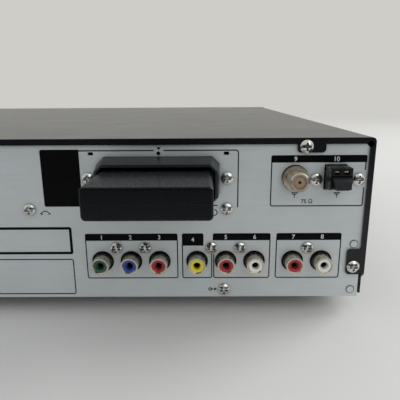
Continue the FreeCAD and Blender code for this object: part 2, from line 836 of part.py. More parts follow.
def make_cover():
    """The folded cover: top, two sides, a narrow flange round the rear panel and its screw tabs."""
    body = new_body("top_cover", y="panel_y + sheet_gauge", z="foot_height")
    shell = sketch(body, "shell", "XZ_Plane")
    rectangle(shell, "-half_width", "cover_lift", "cover_width", "cover_rise - cover_lift")
    raised = pad(body, shell, "cover_depth")
    round_edges(body, raised, "cover_corner",
                lambda edge: runs_back(edge) and near(edge.CenterOfMass.z, VALUE["cover_rise"]))
    hollow = sketch(body, "hollow", "XZ_Plane", "sheet_gauge")
    rectangle(hollow, "sheet_gauge - half_width", "0", "cover_width - 2 * sheet_gauge",
              "cover_rise - sheet_gauge")
    pocket(body, hollow, "cover_depth", reverse=True)
    window = sketch(body, "window", "XZ_Plane")
    rectangle(window, "side_flange - half_width", "0", "cover_width - 2 * side_flange",
              "cover_rise - top_flange")
    pocket(body, window, "2 * sheet_gauge", reverse=True)
    relief = sketch(body, "relief", "XZ_Plane")
    rectangle(relief, "sheet_gauge - half_width", "0", "cover_width - 2 * sheet_gauge", "side_tab_rise")
    pocket(body, relief, "2 * sheet_gauge", reverse=True)
    setback = sketch(body, "setback", "YZ_Plane")
    outline(setback, (
        ("1", "-1"),
        ("1", "side_tab_rise"),
        ("0", "side_tab_rise"),
        ("-side_setback", "side_tab_rise - side_setback"),
        ("-side_setback", "-1"),
    ))
    pocket(body, setback)
    tabs = sketch(body, "tabs", "XZ_Plane")
    for middle in ("top_tab_inset - half_width", "half_width - top_tab_inset"):
        rectangle(tabs, f"{middle} - top_tab_width / 2", "cover_rise - top_flange - top_tab_drop",
                  "top_tab_width", "top_tab_drop + top_flange / 2")
    for left in ("sheet_gauge - half_width", "half_width - side_flange - side_tab_reach"):
        rectangle(tabs, left, "side_tab_rise", "side_tab_reach + side_flange - sheet_gauge",
                  "side_tab_height")
    raised_tabs = pad(body, tabs, "sheet_gauge")
    low = VALUE["cover_rise"] - VALUE["top_flange"] - VALUE["top_tab_drop"]
    inner = VALUE["half_width"] - VALUE["side_flange"] - VALUE["side_tab_reach"]
    round_edges(body, raised_tabs, "tab_corner",
                lambda edge: runs_back(edge) and near(edge.Length, VALUE["sheet_gauge"])
                and (near(edge.CenterOfMass.z, low) or near(abs(edge.CenterOfMass.x), inner)))
    notches = sketch(body, "notches", "XZ_Plane")
    for x in ("side_flange - half_width", "half_width - side_flange"):
        circle(notches, x, "cover_rise - top_flange", "flange_notch")
    pocket(body, notches, "2 * sheet_gauge", reverse=True)
    holes = sketch(body, "screw_holes", "XZ_Plane")
    for x, z in cover_screw_points():
        circle(holes, x, f"{z} - foot_height", "screw_hole")
    pocket(body, holes, "2 * sheet_gauge", reverse=True)
    vents = sketch(body, "vent", "XY_Plane", "cover_rise")
    for row in (0.24, 0.36):
        rectangle(vents, "half_width - board_inset - amplifier_width",
                  f"-{row} * cover_depth - cover_vent_length / 2", "cover_vent_width", "cover_vent_length")
    first = pocket(body, vents, "2 * sheet_gauge")
    row_pattern(body, first, "X_Axis", "(cover_vent_count - 1) * cover_vent_pitch", "cover_vent_count")


def make_chassis():
    """The folded floor tray with low walls, the posts for the boards and slots for air."""
    body = new_body("bottom_chassis", y="inside_y", z="foot_height")
    shell = sketch(body, "shell")
    depth = "inside_y - case_y"
    rectangle(shell, "-panel_half", f"-({depth})", "2 * panel_half", depth)
    pad(body, shell, "chassis_wall")
    hollow = sketch(body, "hollow", lift="chassis_wall")
    rectangle(hollow, "sheet_gauge - panel_half", f"sheet_gauge - ({depth})",
              "2 * panel_half - 2 * sheet_gauge", f"{depth} - 2 * sheet_gauge")
    pocket(body, hollow, "chassis_wall - sheet_gauge")
    posts = sketch(body, "posts")
    for x, y in board_posts():
        circle(posts, x, f"{y} - inside_y", "post_radius")
    pad(body, posts, "board_low - foot_height")
    vents = sketch(body, "vents")
    rectangle(vents, "board_inset + main_board_width / 4 - half_width",
              "-main_board_depth / 2 - floor_vent_length",
              "floor_vent_width", "floor_vent_length")
    rectangle(vents, "half_width - board_inset - amplifier_width * 0.8",
              "-amplifier_depth / 2 - floor_vent_length",
              "floor_vent_width", "floor_vent_length")
    first = pocket(body, vents)
    row_pattern(body, first, "X_Axis", "(floor_vent_count - 1) * floor_vent_pitch", "floor_vent_count")
    holes = sketch(body, "screw_holes", "XZ_Plane")
    for x in ("floor_screw_inset - half_width", "half_width - floor_screw_inset"):
        circle(holes, x, "floor_screw_rise", "screw_hole")
    pocket(body, holes, "2 * sheet_gauge", reverse=True)


def make_rear_panel():
    """The flat rear plate with an opening for each socket, fan slots and two pairs of clinch marks."""
    body = new_body("rear_panel", y="panel_y", z="foot_height")
    plate = sketch(body, "plate", "XZ_Plane")
    rectangle(plate, "-panel_half", "0", "2 * panel_half", "panel_height")
    pad(body, plate, "sheet_gauge")
    marks = sketch(body, "clinches", "XZ_Plane")
    for side in ("clinch_inset - half_width", "half_width - clinch_inset"):
        circle(marks, side, "upper_clinch_rise", "clinch_radius")
        circle(marks, side, "lower_clinch_rise", "clinch_radius")
    pad(body, marks, "clinch_height", reverse=True)
    grooves = sketch(body, "clinch_grooves", "XZ_Plane")
    for side in ("clinch_inset - half_width", "half_width - clinch_inset"):
        for rise in ("upper_clinch_rise", "lower_clinch_rise"):
            circle(grooves, side, rise, "clinch_radius")
            circle(grooves, side, rise, "clinch_radius + clinch_groove")
    pocket(body, grooves, "clinch_groove_depth", reverse=True)
    holes = sketch(body, "jack_holes", "XZ_Plane")
    for name, inset, count in JACK_BLOCKS:
        for x in jacks(inset, count):
            circle(holes, x, "phono_rise", "phono_hole_radius")
    circle(holes, "coax_x", "coax_rise", "coax_hole_radius")
    pocket(body, holes)
    points = [(x, f"{z} - foot_height", "screw_hole") for x, z in rear_screw_points() + cover_screw_points()]
    points.append(("slot_x - gauge_hole_shift", "gauge_hole_rise", "gauge_hole_radius"))
    for number, start in enumerate(range(0, len(points), 8)):
        holes = sketch(body, f"small_holes_{number}", "XZ_Plane")
        for point in points[start:start + 8]:
            circle(holes, *point)
        pocket(body, holes)
    corners = sketch(body, "corners", "XZ_Plane")
    for sign in ("", "-"):
        outline(corners, (
            (f"{sign}(half_width - side_flange - panel_corner_cut)", "cover_rise - top_flange"),
            (f"{sign}(half_width - side_flange)", "cover_rise - top_flange - panel_corner_cut"),
            (f"{sign}half_width", "cover_rise - top_flange - panel_corner_cut"),
            (f"{sign}half_width", "cover_rise"),
            (f"{sign}(half_width - side_flange - panel_corner_cut)", "cover_rise"),
        ))
    pocket(body, corners)
    openings = sketch(body, "openings", "XZ_Plane")
    for middle, centre, width, height in (
        ("wire_x", "wire_z + wire_block_height / 2 - foot_height",
         "wire_block_width + 2 * wire_block_gap", "wire_block_height + 2 * wire_block_gap"),
        ("slot_x", "slot_rise", "card_width + 2 * card_gap", "card_height + 2 * card_gap"),
        ("inlet_x", "inlet_rise", "inlet_width + 2 * card_gap", "inlet_height + 2 * card_gap"),
        ("speaker_x", "board_top + speaker_height / 2 - foot_height",
         "speaker_width + 2 * card_gap", "speaker_height + 2 * card_gap"),
        ("hdmi_x", "hdmi_z - foot_height", "hdmi_width + 2 * card_gap", "hdmi_height + 2 * card_gap"),
    ):
        rectangle(openings, f"{middle} - ({width}) / 2", f"{centre} - ({height}) / 2", width, height)
    for side in "-+":
        middle = f"slot_x - gauge_hole_shift {side} (slot_screw_reach - gauge_slot_width / 2)"
        rectangle(openings, f"{middle} - gauge_slot_width / 2", "gauge_hole_rise - gauge_slot_height / 2",
                  "gauge_slot_width", "gauge_slot_height")
    pocket(body, openings)
    slots = sketch(body, "grille", "XZ_Plane")
    rectangle(slots, "fan_x - grille_slot_length / 2",
              "fan_rise - ((grille_slot_count - 1) * grille_slot_pitch + grille_slot_width) / 2",
              "grille_slot_length", "grille_slot_width")
    first = pocket(body, slots)
    row_pattern(body, first, "Z_Axis", "(grille_slot_count - 1) * grille_slot_pitch", "grille_slot_count")


def make_feet():
    """Four round feet under the floor."""
    feet = []
    for k, (x, y) in enumerate(foot_points()):
        feet.append(cone(f"foot_{k}", (x, y, "0"), "foot_radius - 1.5", "foot_radius", "foot_height"))
    node(group("feet", feet), "feet")


def make_screws():
    """Pan-head screws: one group for the panel's fittings and one for the cover."""
    for name, points, head, face in (
        ("rear_screws", rear_screw_points(), "screw_head_radius", "panel_y"),
        ("cover_screws", cover_screw_points(), "cover_screw_head_radius", "panel_y + sheet_gauge"),
    ):
        screws = []
        for k, (x, z) in enumerate(points):
            seat = face
            if "inlet" in x:
                seat = "panel_y + inlet_flange_gauge"
            if "speaker" in x:
                seat = "panel_y + speaker_reach"
            shank = rod(f"{name}_shank_{k}", (x, f"{seat} - screw_length", z), "screw_shank",
                        "screw_length", "y")
            blank = rod(f"{name}_blank_{k}", (x, seat, z), head, "screw_head_height", "y")
            if "floor" in x:
                blank.setExpression("Radius", formula("cover_screw_head_radius"))
            dome = ball(f"{name}_dome_{k}", (x, f"{seat} + screw_head_height - screw_dome", z), "screw_dome")
            cross = []
            for width, height in (("screw_cross_length", "screw_cross_width"),
                                  ("screw_cross_width", "screw_cross_length")):
                cross.append(block(f"{name}_cross_{k}", (f"{x} - {width} / 2",
                                                         f"{seat} + screw_head_height - screw_cross_depth",
                                                         f"{z} - {height} / 2"),
                                   (width, "screw_cross_depth", height)))
            solid = join(f"{name}_solid_{k}", [shank, overlap(f"{name}_head_{k}", [blank, dome])])
            screws.append(cut(f"{name}_{k}", solid, cross))
        node(group(name, screws), name)


def make_phono_jacks():
    """The black jack blocks with their metal shells, coloured insulators and spring contacts."""
    blocks = []
    shells = []
    contacts = []
    for name, inset, count in JACK_BLOCKS:
        places = jacks(inset, count)
        left = f"{places[0]} - jack_block_side"
        width = f"{count - 1} * phono_pitch + 2 * jack_block_side"
        blank = block(f"{name}_blank", (left, "inside_y - jack_block_depth", "board_top"),
                      (width, "jack_block_depth", "jack_block_below + jack_block_above"))
        tools = []
        for k, x in enumerate(places):
            tools.append(rod(f"{name}_bore_{k}", (x, "inside_y - jack_block_depth", "phono_z"),
                             "phono_root_radius", "jack_block_depth", "y"))
            tools.append(rod(f"{name}_sink_{k}", (x, "inside_y - jack_sink", "phono_z"),
                             "phono_hole_radius", "jack_sink", "y"))
            root = rod(f"{name}_root_{k}", (x, "inside_y - jack_block_depth", "phono_z"),
                       "phono_root_radius", "jack_block_depth + sheet_gauge", "y")
            barrel = rod(f"{name}_barrel_{k}", (x, "inside_y", "phono_z"),
                         "phono_radius", "sheet_gauge + phono_reach", "y")
            outer = join(f"{name}_outside_{k}", [root, barrel])
            inner = rod(f"{name}_inside_{k}", (x, "inside_y - jack_block_depth", "phono_z"),
                        "phono_radius - phono_wall", "jack_block_depth + sheet_gauge + phono_reach", "y")
            flare = cone(f"{name}_flare_{k}", (x, "panel_y + phono_reach - phono_recess", "phono_z"),
                         "phono_radius - phono_wall", "phono_radius - phono_wall + phono_flare",
                         "phono_recess", "y")
            shells.append(cut(f"{name}_shell_{k}", outer, [inner, flare]))
            tube = rod(f"{name}_spring_{k}", (x, "inside_y - jack_block_depth", "phono_z"),
                       "phono_bore", "jack_block_depth + sheet_gauge + phono_reach - contact_depth", "y")
            hole = rod(f"{name}_spring_hole_{k}", (x, "inside_y - jack_block_depth", "phono_z"),
                       "phono_bore - contact_wall",
                       "jack_block_depth + sheet_gauge + phono_reach - contact_depth", "y")
            contacts.append(cut(f"{name}_contact_{k}", tube, [hole]))
        for k in range(count - 1):
            x = f"{inset} + {k + 0.5} * phono_pitch - half_width"
            tools.append(rod(f"{name}_screw_bore_{k}",
                             (x, "inside_y - screw_length", "phono_z + jack_screw_rise"),
                             "screw_hole", "screw_length", "y"))
        blocks.append(cut(f"{name}_block", blank, tools))
    node(group("phono_housings", blocks), "phono_housings")
    node(group("phono_shells", shells), "phono_shells")
    node(group("phono_contacts", contacts), "phono_contacts")
    for name, members in INSULATORS:
        sleeves = []
        for k, (inset, number) in enumerate(members):
            x = f"{inset} + {number} * phono_pitch - half_width"
            length = "jack_block_depth + sheet_gauge + phono_reach - phono_recess"
            outer = rod(f"{name}_outer_{k}", (x, "inside_y - jack_block_depth", "phono_z"),
                        "phono_radius - phono_wall", length, "y")
            inner = rod(f"{name}_inner_{k}", (x, "inside_y - jack_block_depth", "phono_z"),
                        "phono_bore", length, "y")
            mouth = cone(f"{name}_mouth_{k}",
                         (x, "panel_y + phono_reach - phono_recess - phono_mouth", "phono_z"),
                         "phono_bore", "phono_bore + phono_mouth", "phono_mouth", "y")
            sleeves.append(cut(f"{name}_{k}", outer, [inner, mouth]))
        node(group(name, sleeves), name)


def make_aerial_inputs():
    """The tuner's can with its coaxial barrel, and the spring terminal for two aerial wires."""
    can = block("tuner_box", ("tuner_x", "inside_y - tuner_depth", "tuner_z"),
                ("tuner_width", "tuner_depth", "tuner_height"))
    collar = rod("coax_collar", ("coax_x", "inside_y", "coax_z"), "coax_collar_radius",
                 "sheet_gauge + coax_collar_reach", "y")
    barrel = rod("coax_barrel", ("coax_x", "inside_y", "coax_z"), "coax_radius",
                 "sheet_gauge + coax_reach - coax_tip", "y")
    tip = cone("coax_chamfer", ("coax_x", "panel_y + coax_reach - coax_tip", "coax_z"),
               "coax_radius", "coax_radius - coax_tip", "coax_tip", "y")
    solid = join("tuner_solid", [can, collar, barrel, tip])
    tools = [rod("coax_bore", ("coax_x", "inside_y", "coax_z"), "coax_bore", "sheet_gauge + coax_reach", "y")]
    for k, inset in enumerate(("outer_aerial_screw_inset", "inner_aerial_screw_inset")):
        tools.append(rod(f"tuner_screw_bore_{k}",
                         (f"{inset} - half_width", "inside_y - screw_length",
                          "foot_height + aerial_screw_rise"),
                         "screw_hole", "screw_length", "y"))
    tools.append(block("tuner_pocket", ("wire_x - wire_block_width / 2 - wire_block_gap",
                                        "inside_y - wire_block_reach",
                                        "tuner_z"),
                       ("wire_block_width + 2 * wire_block_gap", "wire_block_reach", "tuner_height")))
    node(cut("tuner_can", solid, tools), "tuner_can")
    core = rod("coax_core", ("coax_x", "inside_y", "coax_z"), "coax_bore",
               "sheet_gauge + coax_reach - coax_recess", "y")
    hole = rod("coax_core_hole", ("coax_x", "inside_y", "coax_z"), "coax_pin_bore",
               "sheet_gauge + coax_reach - coax_recess", "y")
    node(cut("coax_insulator", core, [hole]), "coax_insulator")
    left = "wire_x - wire_block_width / 2"
    blank = block("wire_block", (left, "inside_y - wire_block_reach", "wire_z"),
                  ("wire_block_width", "sheet_gauge + 2 * wire_block_reach", "wire_block_height"))
    face = "panel_y + wire_block_reach"
    tools = [wedge("wire_block_slant", ("wire_x - wire_block_width", "panel_y", "wire_z - 1"),
                   "2 * wire_block_width", "wire_block_reach + 1", "1", "1 + wire_block_slope"),
             block("lever_pocket", ("wire_x - lever_width / 2 - lever_gap",
                                    "panel_y", "wire_z - 1"),
                   ("lever_width + 2 * lever_gap", "wire_block_reach + 1", "lever_rise + lever_gap + 1"))]
    tools.append(rod("lever_pin_bore", ("wire_x - wire_block_width", "panel_y + lever_pivot_depth",
                                        "wire_z + lever_pivot_rise"),
                     "lever_pin_radius + running_gap", "2 * wire_block_width", "x"))
    for k, side in enumerate(("-", "+")):
        tools.append(block(f"wire_slot_{k}",
                           (f"wire_x {side} wire_slot_pitch / 2 - wire_slot_width / 2",
                            f"{face} - wire_slot_depth", "wire_z + lever_rise + 2 * lever_gap + 0.4"),
                           ("wire_slot_width", "wire_slot_depth + 1", "wire_slot_height")))
    node(cut("aerial_terminal", blank, tools), "aerial_terminal")
    make_terminal_lever()


def make_terminal_lever():
    """The lever that opens both wire clamps: a wedge that narrows towards its nose, on a pin at its root."""
    body = new_body("terminal_lever", x="wire_x", y="panel_y", z="wire_z")
    side = sketch(body, "side", "YZ_Plane", "-lever_width / 2")
    outline(side, (
        ("lever_pivot_depth - 1", "lever_pivot_rise - 1"),
        ("wire_block_reach + lever_reach", "lever_pivot_rise + 0.2"),
        ("wire_block_reach + lever_reach", "lever_rise - 1.6"),
        ("wire_block_reach", "lever_rise - lever_gap"),
        ("lever_pivot_depth + 1.4", "lever_rise - lever_gap"),
        ("lever_pivot_depth - 1", "lever_pivot_rise + 1"),
    ))
    pad(body, side, "lever_width")
    pin = sketch(body, "pin", "YZ_Plane", "-lever_width / 2 - lever_gap - lever_pin_reach")
    circle(pin, "lever_pivot_depth", "lever_pivot_rise", "lever_pin_radius")
    pad(body, pin, "lever_width + 2 * (lever_gap + lever_pin_reach)")
    taper = sketch(body, "taper", "XZ_Plane", "-(wire_block_reach + lever_reach)")
    for sign in ("", "-"):
        outline(taper, (
            (f"{sign}(lever_width / 2 + 1)", "-1"),
            (f"{sign}(lever_nose_width / 2)", "-1"),
            (f"{sign}(lever_nose_width / 2)", "lever_pivot_rise - 1"),
            (f"{sign}(lever_width / 2 + 0.1)", "lever_rise - 0.8"),
            (f"{sign}(lever_width / 2 + 1)", "lever_rise - 0.8"),
        ))
    pocket(body, taper, "lever_reach + wire_block_reach - lever_pivot_depth - 1.6", reverse=True)


def make_slot_and_module():
    """The tapered frame of the slot, the socket behind it and the radio module plugged into it."""
    frame = new_body("slot_bezel", x="slot_x - bezel_shift", y="panel_y", z="slot_z")

    def ring(drawing, half, low, high, corner):
        outline(drawing, (
            (f"({corner}) - ({half})", low), (f"{half} - ({corner})", low),
            (half, f"{low} + ({corner})"), (half, f"{high} - ({corner})"),
            (f"{half} - ({corner})", high), (f"({corner}) - ({half})", high),
            (f"-({half})", f"{high} - ({corner})"), (f"-({half})", f"{low} + ({corner})"),
        ))

    base = sketch(frame, "base", "XZ_Plane")
    ring(base, "bezel_width / 2", "-bezel_foot", "bezel_head", "bezel_chamfer")
    face = sketch(frame, "face", "XZ_Plane", "-bezel_reach")
    ring(face, "bezel_width / 2 - bezel_side_draft", "-bezel_foot + bezel_side_draft / 2",
         "bezel_head - bezel_head_draft", "bezel_chamfer")
    loft = frame.newObject("PartDesign::AdditiveLoft", "slot_bezel_loft")
    loft.Profile = base
    loft.Sections = [face]
    loft.Ruled = True
    hollow = sketch(frame, "hollow", "XZ_Plane", "-bezel_reach")
    ring(hollow, "bezel_width / 2 - bezel_side_draft - bezel_wall",
         "-bezel_foot + bezel_side_draft / 2 + bezel_wall",
         "bezel_head - bezel_head_draft - bezel_wall", "bezel_chamfer - bezel_wall")
    pocket(frame, hollow, "bezel_reach - bezel_floor", reverse=True)
    card_hole = sketch(frame, "card_hole", "XZ_Plane")
    rectangle(card_hole, "bezel_shift - card_width / 2 - card_gap", "-card_height / 2 - card_gap",
              "card_width + 2 * card_gap", "card_height + 2 * card_gap")
    pocket(frame, card_hole)

    socket_half = "(card_width / 2 + card_gap + socket_wall)"
    blank = block("socket_blank", (f"slot_x - {socket_half}", "inside_y - card_length - socket_back",
                                   "slot_z - card_height / 2 - card_gap - socket_wall"),
                  (f"2 * {socket_half}", "card_length + socket_back",
                   "card_height + 2 * card_gap + 2 * socket_wall"))
    low = "(foot_height + bracket_screw_rise - socket_margin)"
    plate = block("socket_plate", ("bracket_screw_inset - half_width - socket_margin",
                                   "inside_y - socket_wall", low),
                  ("label_screw_inset - bracket_screw_inset + 2 * socket_margin", "socket_wall",
                   f"foot_height + slot_screw_rise + socket_margin - {low}"))
    channel = block("socket_channel", ("slot_x - card_width / 2 - card_gap", "inside_y - card_length",
                                       "slot_z - card_height / 2 - card_gap"),
                    ("card_width + 2 * card_gap", "card_length + 1", "card_height + 2 * card_gap"))
    tools = [channel]
    points = [(f"slot_x {side} slot_screw_reach", "foot_height + slot_screw_rise") for side in "-+"]
    for inset in ("bracket_screw_inset", "label_screw_inset"):
        points.append((f"{inset} - half_width", "foot_height + bracket_screw_rise"))
    for k, (x, z) in enumerate(points):
        tools.append(rod(f"socket_screw_bore_{k}", (x, "inside_y - screw_length", z), "screw_hole",
                         "screw_length", "y"))
    node(cut("card_socket", join("socket_solid", [blank, plate]), tools), "card_socket")

    module = new_body("radio_module", x="slot_x", y="panel_y", z="slot_z")
    grip = sketch(module, "grip", "XZ_Plane", "-module_reach")
    rectangle(grip, "-module_width / 2", "module_lift - module_height / 2", "module_width", "module_height")
    handle = pad(module, grip, "module_reach - bezel_floor - module_seat")
    rounded = round_edges(module, handle, "module_corner", runs_back)
    tip = VALUE["module_reach"]
    round_edges(module, rounded, "module_edge",
                lambda edge: near(edge.BoundBox.YMin, tip) and near(edge.BoundBox.YMax, tip))
    card = sketch(module, "card", "XZ_Plane", "-(bezel_floor + module_seat)")
    rectangle(card, "-card_width / 2", "-card_height / 2", "card_width", "card_height")
    pad(module, card, "bezel_floor + module_seat + sheet_gauge + card_length - card_gap")


def make_other_sockets():
    """The mains inlet, the loudspeaker sockets and the flat video socket."""
    flange = block("inlet_flange", ("inlet_x - inlet_flange_width / 2", "panel_y",
                                    "inlet_z - inlet_flange_height / 2"),
                   ("inlet_flange_width", "inlet_flange_gauge", "inlet_flange_height"))
    barrel = block("inlet_barrel", ("inlet_x - inlet_width / 2", "inside_y - inlet_depth",
                                    "inlet_z - inlet_height / 2"),
                   ("inlet_width", "inlet_depth + sheet_gauge", "inlet_height"))
    face = "panel_y + inlet_flange_gauge"
    tools = [block("inlet_cavity", ("inlet_x - inlet_cavity_width / 2", f"{face} - inlet_cavity_depth",
                                    "inlet_z - inlet_cavity_height / 2"),
                   ("inlet_cavity_width", "inlet_cavity_depth", "inlet_cavity_height"))]
    pins = []
    for k, side in enumerate(("-", "+")):
        tools.append(rod(f"inlet_screw_bore_{k}", (f"inlet_x {side} inlet_screw_reach", "panel_y", "inlet_z"),
                         "screw_hole", "inlet_flange_gauge", "y"))
        pins.append(rod(f"inlet_pin_{k}", (f"inlet_x {side} inlet_pin_pitch / 2",
                                           f"{face} - inlet_cavity_depth - 1",
                                           "inlet_z"),
                        "inlet_pin_radius", "inlet_pin_length + 1", "y"))
    hollow = cut("inlet_hollow", join("inlet_solid", [flange, barrel]), tools)
    node(join("mains_inlet", [hollow] + pins), "mains_inlet")

    flange = block("speaker_flange", ("speaker_x - speaker_flange_width / 2", "panel_y", "board_top"),
                   ("speaker_flange_width", "speaker_reach", "speaker_height"))
    rear = block("speaker_body", ("speaker_x - speaker_width / 2", "panel_y - speaker_depth", "board_top"),
                 ("speaker_width", "speaker_depth", "speaker_height"))
    tools = []
    for column in range(int(VALUE["speaker_columns"])):
        for line in range(int(VALUE["speaker_rows"])):
            x = f"speaker_x - speaker_width / 2 + speaker_margin + {column + 0.5} * speaker_pitch"
            z = f"board_top + speaker_margin + {line + 0.5} * speaker_row_pitch"
            tools.append(block(f"speaker_socket_{column}_{line}",
                               (f"{x} - speaker_socket_width / 2",
                                "panel_y + speaker_reach - speaker_socket_depth",
                                f"{z} - speaker_socket_height / 2"),
                               ("speaker_socket_width", "speaker_socket_depth", "speaker_socket_height")))
    for k, side in enumerate(("-", "+")):
        tools.append(rod(f"speaker_screw_bore_{k}",
                         (f"speaker_x {side} (speaker_width + speaker_ear) / 2", "panel_y",
                          "board_top + speaker_height / 2"),
                         "screw_hole", "speaker_reach", "y"))
    node(cut("speaker_sockets", join("speaker_solid", [flange, rear]), tools), "speaker_sockets")

    shell = block("hdmi_shell", ("hdmi_x - hdmi_width / 2", "inside_y - hdmi_depth", "board_top"),
                  ("hdmi_width", "hdmi_depth + sheet_gauge + hdmi_reach", "hdmi_height"))
    cavity = block("hdmi_cavity", ("hdmi_x - hdmi_width / 2 + hdmi_wall", "inside_y - hdmi_depth + hdmi_wall",
                                   "board_top + hdmi_wall"),
                   ("hdmi_width - 2 * hdmi_wall", "hdmi_depth + sheet_gauge + hdmi_reach",
                    "hdmi_height - 2 * hdmi_wall"))
    tongue = block("hdmi_tongue", ("hdmi_x - hdmi_width / 3", "inside_y - hdmi_depth",
                                   "board_top + hdmi_height / 2"),
                   ("hdmi_width * 2 / 3", "hdmi_depth - hdmi_wall", "hdmi_tongue_gauge"))
    node(join("video_socket", [cut("hdmi_hollow", shell, [cavity]), tongue]), "video_socket")


def make_fan():
    """The square fan frame with its motor seat, and the bladed rotor that turns on its axle."""
    low = "fan_size / 2"
    frame = block("fan_blank", (f"fan_x - {low}", "inside_y - fan_gauge", f"fan_z - {low}"),
                  ("fan_size", "fan_gauge", "fan_size"))
    bore = rod("fan_bore", ("fan_x", "inside_y - fan_gauge", "fan_z"), "fan_bore", "fan_gauge", "y")
    tools = [bore]
    for k, (side, level) in enumerate((("-", "-"), ("-", "+"), ("+", "-"), ("+", "+"))):
        tools.append(rod(f"fan_screw_bore_{k}",
                         (f"fan_x {side} fan_hole_pitch / 2", "inside_y - screw_length",
                          f"fan_z {level} fan_hole_pitch / 2"),
                         "screw_hole", "screw_length", "y"))
    ring = cut("fan_ring", frame, tools)
    seat = rod("fan_seat", ("fan_x", "inside_y - fan_gauge", "fan_z"), "fan_motor_radius",
               "fan_motor_gauge", "y")
    strut = block("fan_strut", (f"fan_x - {low}", "inside_y - fan_gauge", "fan_z - fan_strut_width / 2"),
                  ("fan_size", "fan_motor_gauge", "fan_strut_width"))
    post = block("fan_post", ("fan_x - fan_strut_width / 2", "inside_y - fan_gauge", f"fan_z - {low}"),
                 ("fan_strut_width", "fan_motor_gauge", "fan_size"))
    axle = rod("fan_axle", ("fan_x", "inside_y - fan_gauge", "fan_z"), "fan_axle_radius",
               "fan_gauge - fan_web", "y")
    node(join("fan_frame", [ring, seat, strut, post, axle]), "fan_frame")

    rotor = new_body("fan_rotor", x="fan_x", y="inside_y - fan_gauge + fan_motor_gauge + running_gap",
                     z="fan_z")
    length = "(fan_gauge - fan_motor_gauge - 2 * fan_web)"
    hub = sketch(rotor, "hub", "XZ_Plane")
    circle(hub, "0", "0", "fan_hub_radius")
    pad(rotor, hub, length, reverse=True)
    blade = sketch(rotor, "blade", "XY_Plane", "fan_hub_radius - 1")
    outline(blade, (
        ("-fan_hub_radius / 2", f"0.1 * {length}"),
        ("-fan_hub_radius / 2 + fan_blade_gauge", f"0.1 * {length}"),
        ("fan_hub_radius / 2 + fan_blade_gauge", f"0.9 * {length}"),
        ("fan_hub_radius / 2", f"0.9 * {length}"),
    ))
    fin = pad(rotor, blade, "fan_bore - fan_blade_gap - fan_hub_radius")
    ring_pattern(rotor, fin, "Y_Axis", "fan_blade_count")
    DOCUMENT.recompute()
    well = sketch(rotor, "well", "XZ_Plane")
    circle(well, "0", "0", "fan_axle_radius + running_gap")
    pocket(rotor, well)


def make_boards():
    """The three flat circuit boards and the tall parts that stand on them."""
    node(block("main_board", ("board_inset - half_width", "inside_y - main_board_depth", "board_low"),
               ("main_board_width", "main_board_depth", "board_gauge")), "main_board")
    right = "(half_width - board_inset)"
    amplifier_front = "(inside_y - amplifier_depth)"
    node(block("amplifier_board", (f"{right} - amplifier_width", amplifier_front, "board_low"),
               ("amplifier_width", "amplifier_depth", "board_gauge")), "amplifier_board")
    node(block("power_board", (f"{right} - power_board_width", "case_y + power_board_setback", "board_low"),
               ("power_board_width", "power_board_depth", "board_gauge")), "power_board")

    sink = new_body("heat_sink", x=f"{right} - amplifier_width + (amplifier_width - sink_length) / 2",
                    y=f"{amplifier_front} + sink_setback", z="board_top")
    plate = sketch(sink, "plate")
    rectangle(plate, "0", "0", "sink_length", "sink_plate")
    pad(sink, plate, "sink_height")
    first = sketch(sink, "fin")
    rectangle(first, "0", "sink_plate / 2", "sink_fin", "sink_depth - sink_plate / 2")
    fin = pad(sink, first, "sink_height")
    row_pattern(sink, fin, "X_Axis", "sink_length - sink_fin",
                "floor((sink_length - sink_fin) / sink_fin_pitch) + 1")

    left = f"{right} - power_board_width / 2 - transformer_width / 2"
    front = "case_y + power_board_setback + power_board_depth / 2"
    core = block("transformer_core", (left, front, "board_top"),
                 ("transformer_width", "transformer_depth", "transformer_height"))
    tools = []
    for k, offset in enumerate(("0", "transformer_depth - transformer_window")):
        tools.append(block(f"transformer_window_{k}",
                           (f"{left} + transformer_window", f"{front} + {offset}",
                            "board_top + transformer_window"),
                           ("transformer_width - 2 * transformer_window", "transformer_window",
                            "transformer_height - 2 * transformer_window")))
    node(cut("transformer", core, tools), "transformer")
    cans = []
    for k in range(int(VALUE["capacitor_count"])):
        across = f"{right} - power_board_width + capacitor_radius + board_margin + {k} * capacitor_pitch"
        back = "case_y + power_board_setback + 2 * board_margin + capacitor_radius"
        cans.append(rod(f"capacitor_{k}", (across, back, "board_top"), "capacitor_radius",
                        "capacitor_height"))
    node(group("capacitors", cans), "capacitors")


def make_fascia():
    """The moulded front with an opening for everything that shows or moves in it."""
    body = new_body("front_fascia", y="front_y", z="fascia_z")
    height = "(top_z - fascia_z)"
    front = sketch(body, "front", "XZ_Plane")
    rectangle(front, "-half_width", "0", "cover_width", height)
    raised = pad(body, front, "fascia_depth", reverse=True)
    round_edges(body, raised, "fascia_round", lambda edge: near(edge.BoundBox.YMin,
                                                                0) and near(edge.BoundBox.YMax, 0))
    hollow = sketch(body, "hollow", "XZ_Plane", "-fascia_depth")
    rectangle(hollow, "fascia_wall - half_width", "fascia_wall", "cover_width - 2 * fascia_wall",
              f"{height} - 2 * fascia_wall")
    pocket(body, hollow, "fascia_depth - fascia_wall", reverse=True)
    openings = sketch(body, "openings", "XZ_Plane")
    rectangle(openings, "-tray_front_width / 2 - tray_front_gap",
              "tray_z + tray_gauge / 2 - tray_front_height / 2 - tray_front_gap - fascia_z",
              "tray_front_width + 2 * tray_front_gap", "tray_front_height + 2 * tray_front_gap")
    rectangle(openings, "-window_width / 2", "window_z - fascia_z", "window_width", "window_height")
    for name, x, z, radius in button_places():
        circle(openings, x, f"{z} - fascia_z", f"{radius} + button_gap")
    circle(openings, "knob_x", "knob_z - fascia_z", "encoder_bush_radius + knob_gap")
    circle(openings, "power_inset - half_width", "foot_height + phones_rise - fascia_z",
           "phones_nose_radius + window_gap")
    pocket(body, openings)


